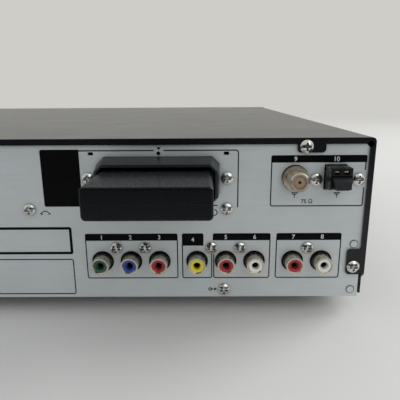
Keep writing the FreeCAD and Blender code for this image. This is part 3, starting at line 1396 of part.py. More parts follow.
def button_places():
    """Each push button: its name, place across, height and radius."""
    rise = "foot_height + button_rise"
    return (
        ("power_button", "power_inset - half_width", "foot_height + power_rise", "power_radius"),
        ("open_button", "button_offset", rise, "button_radius"),
        ("play_button", "button_offset + button_pitch", rise, "button_radius"),
        ("stop_button", "button_offset + 2 * button_pitch", rise, "button_radius"),
    )


def make_front_parts():
    """What sits in the fascia: window, display tube, board, buttons, knob and headphone jack."""
    pane = block("window_pane", ("-window_width / 2 + window_gap", "front_y", "window_z + window_gap"),
                 ("window_width - 2 * window_gap", "fascia_wall", "window_height - 2 * window_gap"))
    lip = block("window_lip_plate", ("-window_width / 2 - window_lip", "wall_y", "window_z - window_lip"),
                ("window_width + 2 * window_lip", "window_gauge", "window_height + 2 * window_lip"))
    node(join("display_window", [pane, lip]), "display_window")
    node(block("display_tube", ("-tube_width / 2", "front_board_y - tube_gauge",
                                "window_z + window_height / 2 - tube_height / 2"),
               ("tube_width", "tube_gauge", "tube_height")), "display_tube")

    board = block("front_board_blank", ("fascia_wall + front_board_margin - half_width", "front_board_y",
                                        "foot_height + front_board_rise"),
                  ("cover_width - 2 * (fascia_wall + front_board_margin)", "board_gauge",
                   "front_board_height"))
    notch = block("front_board_notch_tool", ("-front_board_notch", "front_board_y",
                                             "window_z + window_height + window_lip"),
                  ("2 * front_board_notch - button_radius * 2", "board_gauge", "front_board_height"))
    node(cut("front_board", board, [notch]), "front_board")

    for name, x, z, radius in button_places():
        cap = rod(f"{name}_cap", (x, "front_y - button_reach", z), radius, "button_reach + fascia_wall", "y")
        collar = rod(f"{name}_flange", (x, "wall_y", z), f"{radius} + button_flange", "button_flange_gauge",
                     "y")
        stem = rod(f"{name}_stem", (x, "wall_y", z), "button_stem_radius",
                   "fascia_depth - fascia_wall - board_gauge - button_travel - button_gap", "y")
        node(join(name, [cap, collar, stem]), name)

    knob = new_body("volume_knob", x="knob_x", y="front_y - knob_reach", z="knob_z")
    knob.Placement.Rotation = FreeCAD.Rotation(FreeCAD.Vector(1, 0, 0), 90)
    profile = sketch(knob, "profile", "XZ_Plane")
    rim = "(knob_reach - knob_gap)"
    outline(profile, (
        ("0", "0"),
        ("knob_radius - knob_round", "0"),
        ("knob_radius", "-knob_round"),
        ("knob_radius", f"-{rim}"),
        ("knob_radius - knob_wall", f"-{rim}"),
        ("knob_radius - knob_wall", "-knob_wall"),
        ("knob_stem_radius", "-knob_wall"),
        ("knob_stem_radius", "-knob_length"),
        ("0", "-knob_length"),
    ))
    turned = revolve(knob, profile)
    DOCUMENT.recompute()
    groove = sketch(knob, "groove", "XY_Plane", f"-{rim}")
    circle(groove, "knob_radius", "0", "knob_groove_radius")
    first = pocket(knob, groove, f"{rim} - 2 * knob_round", reverse=True)
    ring_pattern(knob, first, "Z_Axis", "knob_groove_count")
    mark = sketch(knob, "mark", "XY_Plane")
    rectangle(mark, "-knob_mark_width / 2", "knob_mark_start", "knob_mark_width", "knob_mark_length")
    pocket(knob, mark, "knob_mark_depth")

    base = block("encoder_base", ("knob_x - encoder_size / 2", "front_board_y - encoder_gauge",
                                  "knob_z - encoder_size / 2"),
                 ("encoder_size", "encoder_gauge", "encoder_size"))
    bush = rod("encoder_bush", ("knob_x", "front_y - knob_reach + knob_wall + knob_gap", "knob_z"),
               "encoder_bush_radius",
               "fascia_depth + knob_reach - knob_wall - knob_gap - board_gauge - encoder_gauge", "y")
    bore = rod("encoder_bore", ("knob_x", "front_y - knob_reach", "knob_z"), "knob_stem_radius + running_gap",
               "knob_length + knob_gap", "y")
    node(cut("volume_encoder", join("encoder_solid", [base, bush]), [bore]), "volume_encoder")

    x = "power_inset - half_width"
    z = "foot_height + phones_rise"
    nose = rod("phones_nose", (x, "front_y - phones_nose_reach", z), "phones_nose_radius",
               "phones_nose_reach + fascia_wall", "y")
    shell = block("phones_shell", (f"{x} - phones_body_width / 2", "wall_y", f"{z} - phones_body_height / 2"),
                  ("phones_body_width", "fascia_depth - fascia_wall - board_gauge", "phones_body_height"))
    bore = rod("phones_hole", (x, "front_y - phones_nose_reach", z), "phones_bore",
               "phones_nose_reach + fascia_depth - board_gauge", "y")
    node(cut("headphone_jack", join("phones_solid", [nose, shell]), [bore]), "headphone_jack")


def make_tray():
    """The disc tray with its two recesses, the long opening for the pickup and the rack that drives it."""
    body = new_body("disc_tray", y="disc_y", z="tray_z")
    slab = sketch(body, "slab")
    rectangle(slab, "-tray_width / 2", "-(disc_margin + disc_recess_radius)", "tray_width",
              "tray_rear - tray_y")
    pad(body, slab, "tray_gauge")
    for name, radius, depth in (
        ("large_recess", "disc_recess_radius", "disc_recess_depth"),
        ("small_recess", "small_recess_radius", "small_recess_depth"),
        ("spindle_opening", "pickup_slot_radius", "tray_gauge + 1"),
    ):
        recess = sketch(body, name, lift="tray_gauge")
        circle(recess, "0", "0", radius)
        pocket(body, recess, depth)
    slot = sketch(body, "pickup_opening", lift="tray_gauge")
    rectangle(slot, "-pickup_slot_radius", "0", "2 * pickup_slot_radius",
              "lens_start + pickup_travel + lens_mount_radius + pickup_slot_gap")
    pocket(body, slot, "tray_gauge + 1")
    rear = "(tray_rear - disc_y)"
    first_tooth = "(gear_y - disc_y - 1.5 * pi * gear_module)"
    bar = sketch(body, "rack_bar")
    rectangle(bar, "rack_inset - tray_width / 2", f"{first_tooth} - pi * gear_module / 2", "rack_gauge",
              f"{rear} - ({first_tooth} - pi * gear_module / 2)")
    pad(body, bar, "gear_gauge + tray_gap", reverse=True)
    tooth = sketch(body, "rack_tooth")
    root = "(0.785 * gear_module - tooth_clearance + 0.455 * gear_module)"
    crest = "(0.785 * gear_module - tooth_clearance - 0.346 * gear_module)"
    outline(tooth, (
        ("rack_x - 0.2", f"{first_tooth} - {root}"),
        ("rack_x + 2.2 * gear_module", f"{first_tooth} - {crest}"),
        ("rack_x + 2.2 * gear_module", f"{first_tooth} + {crest}"),
        ("rack_x - 0.2", f"{first_tooth} + {root}"),
    ))
    raised = pad(body, tooth, "gear_gauge + tray_gap", reverse=True)
    pitch = "(pi * gear_module)"
    count = f"(floor(({rear} - {first_tooth} - 2 * gear_module) / {pitch}))"
    row_pattern(body, raised, "Y_Axis", f"{count} * {pitch}", f"{count} + 1")

    front = new_body("tray_front", y="front_y - tray_front_reach",
                     z="tray_z + tray_gauge / 2 - tray_front_height / 2")
    plate = sketch(front, "plate", "XZ_Plane")
    rectangle(plate, "-tray_front_width / 2", "0", "tray_front_width", "tray_front_height")
    raised = pad(front, plate, "tray_front_gauge", reverse=True)
    round_edges(front, raised, "tray_front_reach",
                lambda edge: near(edge.BoundBox.YMin, 0) and near(edge.BoundBox.YMax, 0))


def spur_gear(body, teeth, module, gauge, bore):
    """A spur gear with straight-flanked teeth, one of them along +X."""
    pitch_radius = f"{teeth} * {module} / 2"
    disc = sketch(body, "disc")
    circle(disc, "0", "0", f"{pitch_radius} - 1.2 * {module}")
    pad(body, disc, gauge)
    tooth = sketch(body, "tooth")
    root = f"(1.0 * {module} - tooth_clearance)"
    crest = f"(0.42 * {module} - tooth_clearance)"
    outline(tooth, (
        (f"{pitch_radius} - 1.6 * {module}", f"-{root}"),
        (f"{pitch_radius} + 0.9 * {module}", f"-{crest}"),
        (f"{pitch_radius} + 0.9 * {module}", crest),
        (f"{pitch_radius} - 1.6 * {module}", root),
    ))
    raised = pad(body, tooth, gauge)
    ring_pattern(body, raised, "Z_Axis", teeth)
    DOCUMENT.recompute()
    hole = sketch(body, "bore")
    circle(hole, "0", "0", bore)
    pocket(body, hole)
    return body


def make_drive():
    """The tray's gear train: gear, pinion with its pulley, belt, motor pulley and motor."""
    wheel = new_body("tray_gear", "tray_gear_x", "gear_y", "gear_z")
    spur_gear(wheel, "tray_gear_teeth", "gear_module", "gear_gauge", "gear_bore")

    pinion = new_body("belt_pulley", "pulley_x", "gear_y", "gear_z")
    pinion.Placement.Rotation = FreeCAD.Rotation(FreeCAD.Vector(0, 0, 1), 180 / VALUE["pinion_teeth"])
    spur_gear(pinion, "pinion_teeth", "gear_module", "gear_gauge", "gear_bore")
    drop = "(gear_z - pulley_z)"
    wheel = sketch(pinion, "wheel", lift=f"-{drop}")
    circle(wheel, "0", "0", "pulley_radius + pulley_flange")
    pad(pinion, wheel, "pulley_gauge")
    neck = sketch(pinion, "neck", lift=f"pulley_gauge - {drop}")
    circle(neck, "0", "0", "pinion_teeth * gear_module / 2 - 1.2 * gear_module")
    pad(pinion, neck, f"{drop} - pulley_gauge")
    groove = sketch(pinion, "groove", lift=f"(pulley_gauge - belt_width) / 2 - belt_gap - {drop}")
    circle(groove, "0", "0", "pulley_radius + pulley_flange + 1")
    circle(groove, "0", "0", "pulley_radius")
    pocket(pinion, groove, "belt_width + 2 * belt_gap", reverse=True)
    bore = sketch(pinion, "long_bore")
    circle(bore, "0", "0", "gear_bore")
    pocket(pinion, bore)

    groove_z = "pulley_z + (pulley_gauge - belt_width) / 2"
    wheel = rod("motor_pulley_blank", ("motor_x", "gear_y", "pulley_z"),
                "motor_pulley_radius + pulley_flange",
                "pulley_gauge")
    outer = rod("motor_pulley_groove", ("motor_x", "gear_y", f"{groove_z} - belt_gap"),
                "motor_pulley_radius + pulley_flange + 1", "belt_width + 2 * belt_gap")
    core = rod("motor_pulley_core", ("motor_x", "gear_y", f"{groove_z} - belt_gap"), "motor_pulley_radius",
               "belt_width + 2 * belt_gap")
    bore = rod("motor_pulley_bore", ("motor_x", "gear_y", "pulley_z"), "motor_shaft_radius + running_gap",
               "pulley_gauge")
    node(cut("motor_pulley", wheel, [cut("motor_pulley_ring", outer, [core]), bore]), "motor_pulley")

    can = rod("motor_can", ("motor_x", "gear_y", "deck_top - deck_gauge - motor_length"), "motor_radius",
              "motor_length")
    shaft = rod("motor_shaft", ("motor_x", "gear_y", "deck_top - deck_gauge"), "motor_shaft_radius",
                "deck_gauge + tray_gap + pulley_gauge")
    node(join("loading_motor", [can, shaft]), "loading_motor")
    make_belt()


def make_belt():
    """The flat loop of the drive belt round both pulleys."""
    large = VALUE["pulley_radius"] + VALUE["belt_gap"]
    small = VALUE["motor_pulley_radius"] + VALUE["belt_gap"]
    span = VALUE["belt_span"]
    lean = math.acos((large - small) / span)

    def loop(spread):
        up = FreeCAD.Vector(math.cos(lean), math.sin(lean), 0)
        down = FreeCAD.Vector(math.cos(lean), -math.sin(lean), 0)
        far = FreeCAD.Vector(span, 0, 0)
        left = FreeCAD.Vector(-1, 0, 0)
        right = FreeCAD.Vector(1, 0, 0)
        big = large + spread
        little = small + spread
        edges = [
            Part.Arc(up * big, left * big, down * big).toShape(),
            Part.LineSegment(down * big, far + down * little).toShape(),
            Part.Arc(far + down * little, far + right * little, far + up * little).toShape(),
            Part.LineSegment(far + up * little, up * big).toShape(),
        ]
        return Part.Face(Part.Wire(edges))

    face = loop(VALUE["belt_gauge"]).cut(loop(0))
    belt = DOCUMENT.addObject("Part::Feature", "drive_belt")
    belt.Shape = face.extrude(FreeCAD.Vector(0, 0, VALUE["belt_width"]))
    height = VALUE["pulley_z"] + (VALUE["pulley_gauge"] - VALUE["belt_width"]) / 2
    belt.Placement = FreeCAD.Placement(FreeCAD.Vector(VALUE["pulley_x"], VALUE["gear_y"], height),
                                       FreeCAD.Rotation())
    node(belt, "drive_belt")


def make_loader_frame():
    """The loader's frame: two side walls with rails for the tray, a gear deck, a rear bar and four legs."""
    pieces = []
    wall_low = "deck_top - deck_gauge"
    wall_high = "bridge_z"
    for side, x, rail in (("left", "-loader_outer", "-loader_inner"), ("right", "loader_inner",
                                                                        "loader_inner - rail_reach")):
        pieces.append(block(f"loader_wall_{side}", (x, "loader_y", wall_low),
                            ("loader_wall", "loader_length", f"{wall_high} - ({wall_low})")))
        for level, z in (("low", "tray_z - tray_gap - rail_gauge"), ("high", "tray_top + tray_gap")):
            pieces.append(block(f"loader_rail_{side}_{level}", (rail, "loader_y", z),
                                ("rail_reach", "loader_length", "rail_gauge")))
        for end, y in (("front", "loader_y"), ("rear", "loader_y + loader_length - loader_foot")):
            pieces.append(block(f"loader_leg_{side}_{end}", (x, y, "floor_z"),
                                ("loader_wall", "loader_foot", f"{wall_low} - floor_z")))
    pieces.append(block("loader_deck", ("-loader_inner", "loader_y", wall_low),
                        ("2 * loader_inner", "deck_depth", "deck_gauge")))
    pieces.append(block("loader_bar", ("-loader_inner", "loader_y + loader_length - loader_wall", wall_low),
                        ("2 * loader_inner", "loader_wall", "deck_gauge + tray_gap")))
    for name, x in (("gear", "tray_gear_x"), ("pulley", "pulley_x")):
        pieces.append(rod(f"loader_{name}_post", (x, "gear_y", wall_low), "gear_bore - running_gap",
                          f"gear_z + gear_gauge - ({wall_low})"))
    pieces.append(rod("loader_gear_boss", ("tray_gear_x", "gear_y", "deck_top"), "gear_bore + 1.5",
                      "gear_z - deck_top - tray_gap"))
    solid = join("loader_solid", pieces)
    tools = [rod("loader_shaft_hole", ("motor_x", "gear_y", wall_low), "motor_shaft_radius + running_gap",
                 "deck_gauge")]
    for side, start in (("left", "-loader_outer - 1"), ("right", "loader_inner - 1")):
        tools.append(rod(f"pivot_hole_{side}", (start, "pivot_y", "pivot_z"),
                         "pivot_pin_radius + running_gap",
                         "loader_wall + 2", "x"))
    node(cut("loader_frame", solid, tools), "loader_frame")

    plate = block("bridge_plate", ("-loader_outer", "disc_y - bridge_width / 2", "bridge_z"),
                  ("2 * loader_outer", "bridge_width", "bridge_gauge"))
    hole = rod("bridge_hole", ("0", "disc_y", "bridge_z"), "clamper_neck_radius + clamper_neck_gap",
               "bridge_gauge")
    node(cut("clamp_bridge", plate, [hole]), "clamp_bridge")

    disc = rod("clamper_disc", ("0", "disc_y", "clamper_z"), "clamper_radius", "clamper_gauge")
    neck = rod("clamper_neck", ("0", "disc_y", "clamper_z + clamper_gauge"), "clamper_neck_radius",
               "clamper_gap + bridge_gauge")
    cap = rod("clamper_cap", ("0", "disc_y", "bridge_z + bridge_gauge"), "clamper_cap_radius",
              "clamper_cap_gauge")
    well = rod("clamper_well", ("0", "disc_y", "clamper_z"), "hub_radius + 1", "hub_height")
    node(cut("disc_clamper", join("clamper_solid", [disc, neck, cap]), [well]), "disc_clamper")


def on_base(item, name):
    """Hang a piece of the tilting base on its pivot, tipped down to where it rests."""
    node(item, name)
    put(item, "0", "pivot_y", "pivot_z")
    item.Placement.Rotation = FreeCAD.Rotation(FreeCAD.Vector(1, 0, 0), 1)
    item.setExpression("Placement.Rotation.Angle", formula("base_tilt"))
    return item


def make_base_unit():
    """The tilting base with its guide rods and motors, and the turntable that it carries."""
    holder = "rod_radius + rod_holder"
    front = "(spindle_motor_radius + 1 - base_reach)"
    rear = "(-2 * base_tail)"
    plate = block("base_plate", ("-base_width / 2", "-base_reach - base_nose", "-base_face"),
                  ("base_width", "base_reach + base_nose + base_tail", "base_gauge"))
    pins = rod("base_pins", ("pivot_pin_gap - loader_outer", "0", "0"), "pivot_pin_radius",
               "2 * (loader_outer - pivot_pin_gap)", "x")
    leg_x = "(base_window_width / 2 + 1)"
    leg_y = "(sled_gear_y - bracket_width / 2)"
    leg = block("bracket_leg", (leg_x, leg_y, "shelf_z"),
                ("base_gauge", "bracket_width", "-base_face - shelf_z"))
    shelf = block("bracket_shelf", ("sled_gear_x - bracket_width / 2", leg_y, "shelf_z"),
                  (f"{leg_x} - sled_gear_x + bracket_width / 2 + base_gauge / 2", "bracket_width",
                   "base_gauge"))
    pieces = [plate, pins, leg, shelf]
    tools = [
        block("base_window", ("-base_window_width / 2", front, "-base_face"),
              ("base_window_width", f"{rear} - {front}", "base_gauge")),
        rod("base_spindle_hole", ("0", "-base_reach", "-base_face"), "spindle_radius + 1", "base_gauge"),
        rod("base_shaft_hole", ("sled_gear_x", "sled_gear_y", "shelf_z"), "motor_shaft_radius", "base_gauge"),
    ]
    rods = []
    for side, sign in (("left", "-"), ("right", "")):
        for end, y in (("front", f"{front} - rod_holder"), ("rear", rear)):
            pieces.append(block(f"rod_holder_{side}_{end}", (f"{sign}rod_spread - ({holder}) / 2", y,
                                                             "rod_z - rod_radius - 1"),
                                (holder, "rod_holder", "2 * rod_radius + 1")))
        place = (f"{sign}rod_spread", f"{front} - rod_holder", "rod_z")
        length = f"{rear} - {front} + 2 * rod_holder"
        rods.append(rod(f"guide_rod_{side}", place, "rod_radius", length, "y"))
        tools.append(rod(f"guide_bore_{side}", place, "rod_radius", length, "y"))
    on_base(cut("base_unit", join("base_solid", pieces), tools), "base_unit")
    on_base(group("guide_rods", rods), "guide_rods")

    motor = rod("spindle_can", ("0", "-base_reach", "-base_face - spindle_motor_length"),
                "spindle_motor_radius",
                "spindle_motor_length")
    shaft = rod("spindle_shaft", ("0", "-base_reach", "-base_face"), "spindle_radius",
                "seat_rise + base_face + hub_height / 2")
    on_base(join("spindle_motor", [motor, shaft]), "spindle_motor")

    table = rod("turntable_disc", ("0", "-base_reach", "seat_rise - turntable_gauge"), "turntable_radius",
                "turntable_gauge")
    stem = rod("turntable_stem", ("0", "-base_reach", "base_face + 4 * running_gap"), "spindle_radius + 2",
               "seat_rise - base_face - 4 * running_gap")
    hub = cone("turntable_hub", ("0", "-base_reach", "seat_rise"), "hub_radius", "hub_radius - 1.5",
               "hub_height")
    bore = rod("turntable_bore", ("0", "-base_reach", "0"), "spindle_radius + running_gap",
               "seat_rise + hub_height / 2 + 6 * running_gap")
    on_base(cut("turntable", join("turntable_solid", [table, stem, hub]), [bore]), "turntable")


def make_pickup():
    """The pickup on its rods with the rack that moves it, the gear in the rack and the gear's motor."""
    body = block("pickup_body", ("-pickup_width / 2", "sled_y", "sled_low"),
                 ("pickup_width", "pickup_length", "pickup_height"))
    arm = "(rod_spread + rod_radius + 1.5)"
    arms = block("pickup_arms", (f"-{arm}", "sled_middle - pickup_length / 4", "sled_low"),
                 (f"2 * {arm}", "pickup_length / 2", "2 * rod_radius + 1.4"))
    lens_y = "lens_start - base_reach"
    lens_top = "(seat_rise - lens_gap)"
    mount = rod("lens_mount", ("0", lens_y, "sled_low"), "lens_mount_radius",
                f"{lens_top} - lens_height - sled_low")
    lens = rod("pickup_lens", ("0", lens_y, "sled_low"), "lens_radius", f"{lens_top} - sled_low")
    pitch = "(pi * sled_module)"
    teeth = f"(floor(pickup_travel / {pitch}) + 5)"
    rack = raw_body("pickup_rack", "pickup_width / 2", "sled_middle", "sled_gear_z")
    bar = sketch(rack, "bar")
    rectangle(bar, "-sled_rack_width", f"-{teeth} * {pitch} / 2", "sled_rack_width", f"{teeth} * {pitch}")
    pad(rack, bar, "sled_gear_gauge + sled_gap + running_gap")
    tooth = sketch(rack, "tooth")
    low = f"(pickup_travel / 2 - (floor({teeth} / 2 + pickup_travel / 2 / {pitch} - 1) + 0.5) * {pitch})"
    root = "(0.785 * sled_module - tooth_clearance + 0.455 * sled_module)"
    crest = "(0.785 * sled_module - tooth_clearance - 0.346 * sled_module)"
    outline(tooth, (
        ("-0.2", f"{low} - {root}"),
        ("2.2 * sled_module", f"{low} - {crest}"),
        ("2.2 * sled_module", f"{low} + {crest}"),
        ("-0.2", f"{low} + {root}"),
    ))
    raised = pad(rack, tooth, "sled_gear_gauge + sled_gap + running_gap")
    row_pattern(rack, raised, "Y_Axis", f"({teeth} - 2) * {pitch}", f"{teeth} - 1")
    solid = join("pickup_solid", [body, arms, mount, lens, rack])
    tools = []
    for side, sign in (("left", "-"), ("right", "")):
        tools.append(rod(f"pickup_bore_{side}", (f"{sign}rod_spread", "sled_y", "rod_z"),
                         "rod_radius + rod_gap",
                         "pickup_length", "y"))
    on_base(cut("pickup_sled", solid, tools), "pickup_sled")

    wheel = spur_gear(raw_body("sled_wheel", "sled_gear_x", "sled_gear_y", "sled_gear_z"), "sled_gear_teeth",
                      "sled_module", "sled_gear_gauge", "motor_shaft_radius + running_gap")
    on_base(group("sled_gear", [wheel]), "sled_gear")
    can = rod("sled_can", ("sled_gear_x", "sled_gear_y", "shelf_z - sled_motor_length"), "sled_motor_radius",
              "sled_motor_length")
    shaft = rod("sled_shaft", ("sled_gear_x", "sled_gear_y", "shelf_z"), "motor_shaft_radius",
                "sled_gear_z + sled_gear_gauge - shelf_z")
    on_base(join("sled_motor", [can, shaft]), "sled_motor")


make_cover()
make_chassis()
make_rear_panel()
make_feet()
make_screws()
make_phono_jacks()
make_aerial_inputs()
make_slot_and_module()
make_other_sockets()
make_fan()
make_boards()
make_fascia()
make_front_parts()
make_tray()
make_drive()
make_loader_frame()
make_base_unit()
make_pickup()

DOCUMENT.recompute()

for item in DOCUMENT.Objects:
    if "Invalid" in item.State or "Error" in item.State:
        raise RuntimeError(f"{item.Label} failed to build: {item.State}")
for name, item in NODES.items():
    if item.Shape.isNull() or not item.Shape.isValid():
        raise RuntimeError(f"{name} has no valid shape")

os.makedirs(PARTS_FOLDER, exist_ok=True)
for name, item in NODES.items():
    item.Shape.exportStep(f"{PARTS_FOLDER}/{name}.step")
    print(f"{name}: {len(item.Shape.Solids)} solids, {item.Shape.Volume:.1f} cubic mm")
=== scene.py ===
"""Finishes, prints and small fittings for a disc player and receiver, seen from behind."""

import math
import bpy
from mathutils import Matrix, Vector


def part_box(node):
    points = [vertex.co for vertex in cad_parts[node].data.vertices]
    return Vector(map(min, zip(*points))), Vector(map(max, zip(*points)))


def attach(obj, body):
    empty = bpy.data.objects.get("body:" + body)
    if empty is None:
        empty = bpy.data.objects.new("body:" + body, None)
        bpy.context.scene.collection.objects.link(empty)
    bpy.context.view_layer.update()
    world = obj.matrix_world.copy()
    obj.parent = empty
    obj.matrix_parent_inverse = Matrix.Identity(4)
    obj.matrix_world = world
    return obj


bl_info = {
    "name": "Disc Player and Receiver Looks",
    "version": (1, 0, 0),
    "blender": (4, 5, 0),
    "location": "View3D > Sidebar > Receiver",
    "description": "Dresses the solids of a disc player and receiver, and sets its floor, lamps and camera",
    "category": "Object",
}

import bpy
from bpy.props import FloatProperty, FloatVectorProperty, IntProperty, PointerProperty
from mathutils import Matrix, Vector

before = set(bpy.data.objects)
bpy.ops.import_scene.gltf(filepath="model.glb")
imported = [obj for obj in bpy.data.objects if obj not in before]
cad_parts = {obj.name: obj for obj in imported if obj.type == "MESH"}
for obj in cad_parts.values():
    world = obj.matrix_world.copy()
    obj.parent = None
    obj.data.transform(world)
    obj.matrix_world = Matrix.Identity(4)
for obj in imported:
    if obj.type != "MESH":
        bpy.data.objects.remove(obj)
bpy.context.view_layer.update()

MM = 0.001
PANEL_FACE = 0.1757      # outer face of the rear panel
PANEL_FOOT = 0.0086      # lower edge of the rear panel
PRINT_LIFT = 0.00004     # screen printed ink stands this far off its surface
BEZEL_SHADED_FOOT = 0.0018      # the slot's frame is painted black up to this far off the panel, as painted shade of the gap at its foot
ALONG_X, ALONG_Y, ALONG_Z = range(3)     # the way that the marks of a rolled metal run

# The coaxial barrel's thread, in metres: radius of its root, start and end off the panel, rings for each
# turn, and how sharp its crest is
THREAD_ROOT = 0.00442
THREAD_SPAN = (0.0026, 0.0102)
THREAD_RINGS = 8
THREAD_CREST = 0.8

# The spring strips in the wire terminal's two windows, in metres. Each bend is a way back and a way down
# from the strip's highest point.
WINDOW_APART = 0.00415
STRIP_WIDTH = 0.0018
STRIP_BACK, STRIP_DOWN = 0.0004, 0.0010
STRIP_BENDS = ((0.0040, 0.0019), (0.0016, 0.0003), (0.0003, 0.0), (0.0, 0.0004), (0.0002, 0.0010))

# Marks of the front, in millimetres
SHARP = (0.0,) * 4                       # corners without a radius
SIGN_LINE = 0.4
KNOB_POINTER = (-0.6, 0.6, 11.5, 17.5)   # left, right, low and high, from the knob's middle
KNOB_RECESS = 0.3
DIGITS_LEFT, DIGIT_STEP, DIGIT_GAP = -38, 14, 3      # with one more gap after each pair

# The stage, in metres and degrees
FLOOR_SIDES = 96
FADE_SPAN = (0.45, 1.8)                  # the floor turns into backdrop between these distances
FLAG = (-0.95, 0.55, 0.5, 0.24)          # left, right, way behind and top of the dark cloth
LAMPS = (                                # name, share of the lamp power, place, size
    ("overhead_lamp", 1.0, (-1.6, -0.5, 0.95), 0.9),
    ("window_lamp", 0.42, (-1.2, 1.5, 1.4), 1.4),
)
LAMPS_FACE = Vector((0.0, 0.1, 0.05))
CAMERA_PLACE = (-0.13568, 0.3687, 0.1087)
CAMERA_TURNS = (14.5, -0.37, -0.36)      # down, sideways and over


# Colours and pattern sizes

def linear(code):
    """Turns an sRGB hex value into the linear colour that the shaders work in."""
    shares = [int(code[i:i + 2], 16) / 255 for i in (1, 3, 5)]
    return tuple(s / 12.92 if s <= 0.04045 else ((s + 0.055) / 1.055) ** 2.4 for s in shares) + (1.0,)


def per_metre(millimetres):
    """How many features of this size fit in a metre, which is a pattern's scale."""
    return 1000.0 / millimetres


def hue(name, description, code):
    """A colour that the sidebar shows."""
    return FloatVectorProperty(name=name, description=description, subtype="COLOR",
                               size=4, min=0.0, max=1.0, default=linear(code))


def length(name, description, metres):
    """A length that the sidebar shows."""
    return FloatProperty(name=name, description=description, subtype="DISTANCE",
                         unit="LENGTH", min=0.0, default=metres)


# Settings

class CaseSettings(bpy.types.PropertyGroup):
    """Painted cover, bare panel and chassis."""

    paint: hue("Cover paint", "Satin black coat of the folded cover", "#111216")
    paint_grain: length("Paint grain", "Width of one bump of the coat", 0.0005)
    panel: hue("Panel steel", "Colour of the bare rear panel", "#d0d6d6")
    grain_length: length("Grain length", "Length of one rolling mark", 0.014)
    grain_width: length("Grain width", "Width of one rolling mark", 0.0005)
    zinc: hue("Zinc coat", "Colour of the zinc coated chassis and cans", "#b4b8ba")


class PrintSettings(bpy.types.PropertyGroup):
    """Screen print of the rear panel."""

    ink: hue("Ink", "Black ink of bars and lines", "#030404")
    figure_ink: hue("Figure ink", "White ink of the numbers in the bars", "#d5d9d8")
    line: length("Line", "Width of the lines round the groups", 0.00052)
    heavy_line: length("Heavy line", "Width of the border of the upper frame", 0.0013)
    corner: length("Corner", "Radius of the corners of lines and bars", 0.0009)
    figure: length("Figure height", "Height of the numbers in the bars", 0.0022)


class JackSettings(bpy.types.PropertyGroup):
    """Phono jacks and aerial inputs."""

    nickel: hue("Nickel", "Warm plate of the jack shells and the coaxial barrel", "#d2cab9")
    green: hue("Green insulator", "First component jack", "#2b5a44")
    blue: hue("Blue insulator", "Second component jack", "#2b4a9c")
    red: hue("Red insulator", "Third component and right sound jacks", "#a82a31")
    yellow: hue("Yellow insulator", "Picture jack", "#eedb36")
    white: hue("White insulator", "Left sound jacks", "#eeeee4")
    thread_pitch: length("Thread pitch", "Pitch of the coaxial barrel's thread", 0.00105)
    thread_depth: length("Thread depth", "Height of the thread above its root", 0.00028)


class SlotSettings(bpy.types.PropertyGroup):
    """Slot frame and plugged-in radio module."""

    module: hue("Module plastic", "Moulded shell of the radio module", "#06080d")
    bezel: hue("Bezel plastic", "Moulded frame round the slot", "#25282b")
    spark: length("Spark grain", "Width of one pit of the moulded texture", 0.00055)


class FrontSettings(bpy.types.PropertyGroup):
    """Fascia, window, knob and buttons."""

    fascia: hue("Fascia plastic", "Glossy moulded front", "#151618")
    knob: hue("Knob plastic", "Volume knob and buttons", "#2b2d30")
    legend: hue("Legend ink", "Pale ink of the marks on the front", "#b9bdbf")
    legend_height: length("Legend height", "Height of the marks on the front", 0.003)


class StageSettings(bpy.types.PropertyGroup):
    """Floor, lamps and camera."""

    floor: hue("Floor", "Pale floor", "#e6e4de")
    backdrop: hue("Backdrop", "Pale wall behind the floor", "#cecdc8")
    floor_radius: length("Floor radius", "Half width of the floor", 4.0)
    focal_length: FloatProperty(name="Focal length", description="Lens for a 36 mm wide picture",
                                subtype="DISTANCE_CAMERA", min=1.0, default=37.854)
    lamp: FloatProperty(name="Lamp power", description="Power of the lamp above the cover",
                        subtype="POWER", min=0.0, default=15.0)
    fill: FloatProperty(name="Fill strength", description="Light of the room from all sides",
                        min=0.0, default=0.62)
    turns: IntProperty(name="Round steps", description="Sides of a round fitting", min=12, default=48)


SETTINGS = {
    "case": CaseSettings,
    "print": PrintSettings,
    "jacks": JackSettings,
    "slot": SlotSettings,
    "front": FrontSettings,
    "stage": StageSettings,
}


def wanted(group):
    """The sidebar's settings for one group."""
    return getattr(bpy.context.scene, "receiver_" + group)


# Materials

# A noise keeps mostly between these values, so a change of shade or gloss runs from one to the other.
NOISE_SPAN = {"From Min": 0.3, "From Max": 0.7}
# Sockets of the Mix node: its share, its two numbers, and its two colours
SHARE, NUMBER_A, NUMBER_B, DARK, LIGHT = 0, 2, 3, 6, 7
COLOURS = {"data_type": "RGBA"}
MULTIPLIED = {"data_type": "RGBA", "blend_type": "MULTIPLY"}


def result(source):
    """The live output of a node. An output or a plain value stays as it is."""
    if isinstance(source, bpy.types.Node):
        return next(output for output in source.outputs if output.enabled)
    return source


def add_node(tree, kind, settings=None, inputs=None):
    """Adds one node with its settings. An input is a value, an output, or the node that feeds it."""
    node = tree.nodes.new(kind)
    for name, value in (settings or {}).items():
        setattr(node, name, value)
    for socket, source in (inputs or {}).items():
        value = result(source)
        if isinstance(value, bpy.types.NodeSocket):
            tree.links.new(value, node.inputs[socket])
        else:
            node.inputs[socket].default_value = value
    return node


def start_finish(name, **shader):
    """A new material with its place in metres and its shader, whose fixed values are given by name."""
    made = bpy.data.materials.new(name)
    made.use_nodes = True
    tree = made.node_tree
    tree.nodes.clear()
    place = add_node(tree, "ShaderNodeTexCoord").outputs["Object"]
    fixed = {socket.replace("_", " "): value for socket, value in shader.items()}
    surface = add_node(tree, "ShaderNodeBsdfPrincipled", inputs=fixed)
    add_node(tree, "ShaderNodeOutputMaterial", inputs={"Surface": surface})
    return made, tree, place, surface


def feed(tree, surface, **sources):
    """Links nodes or outputs to the shader's sockets."""
    for socket, source in sources.items():
        tree.links.new(result(source), surface.inputs[socket.replace("_", " ")])


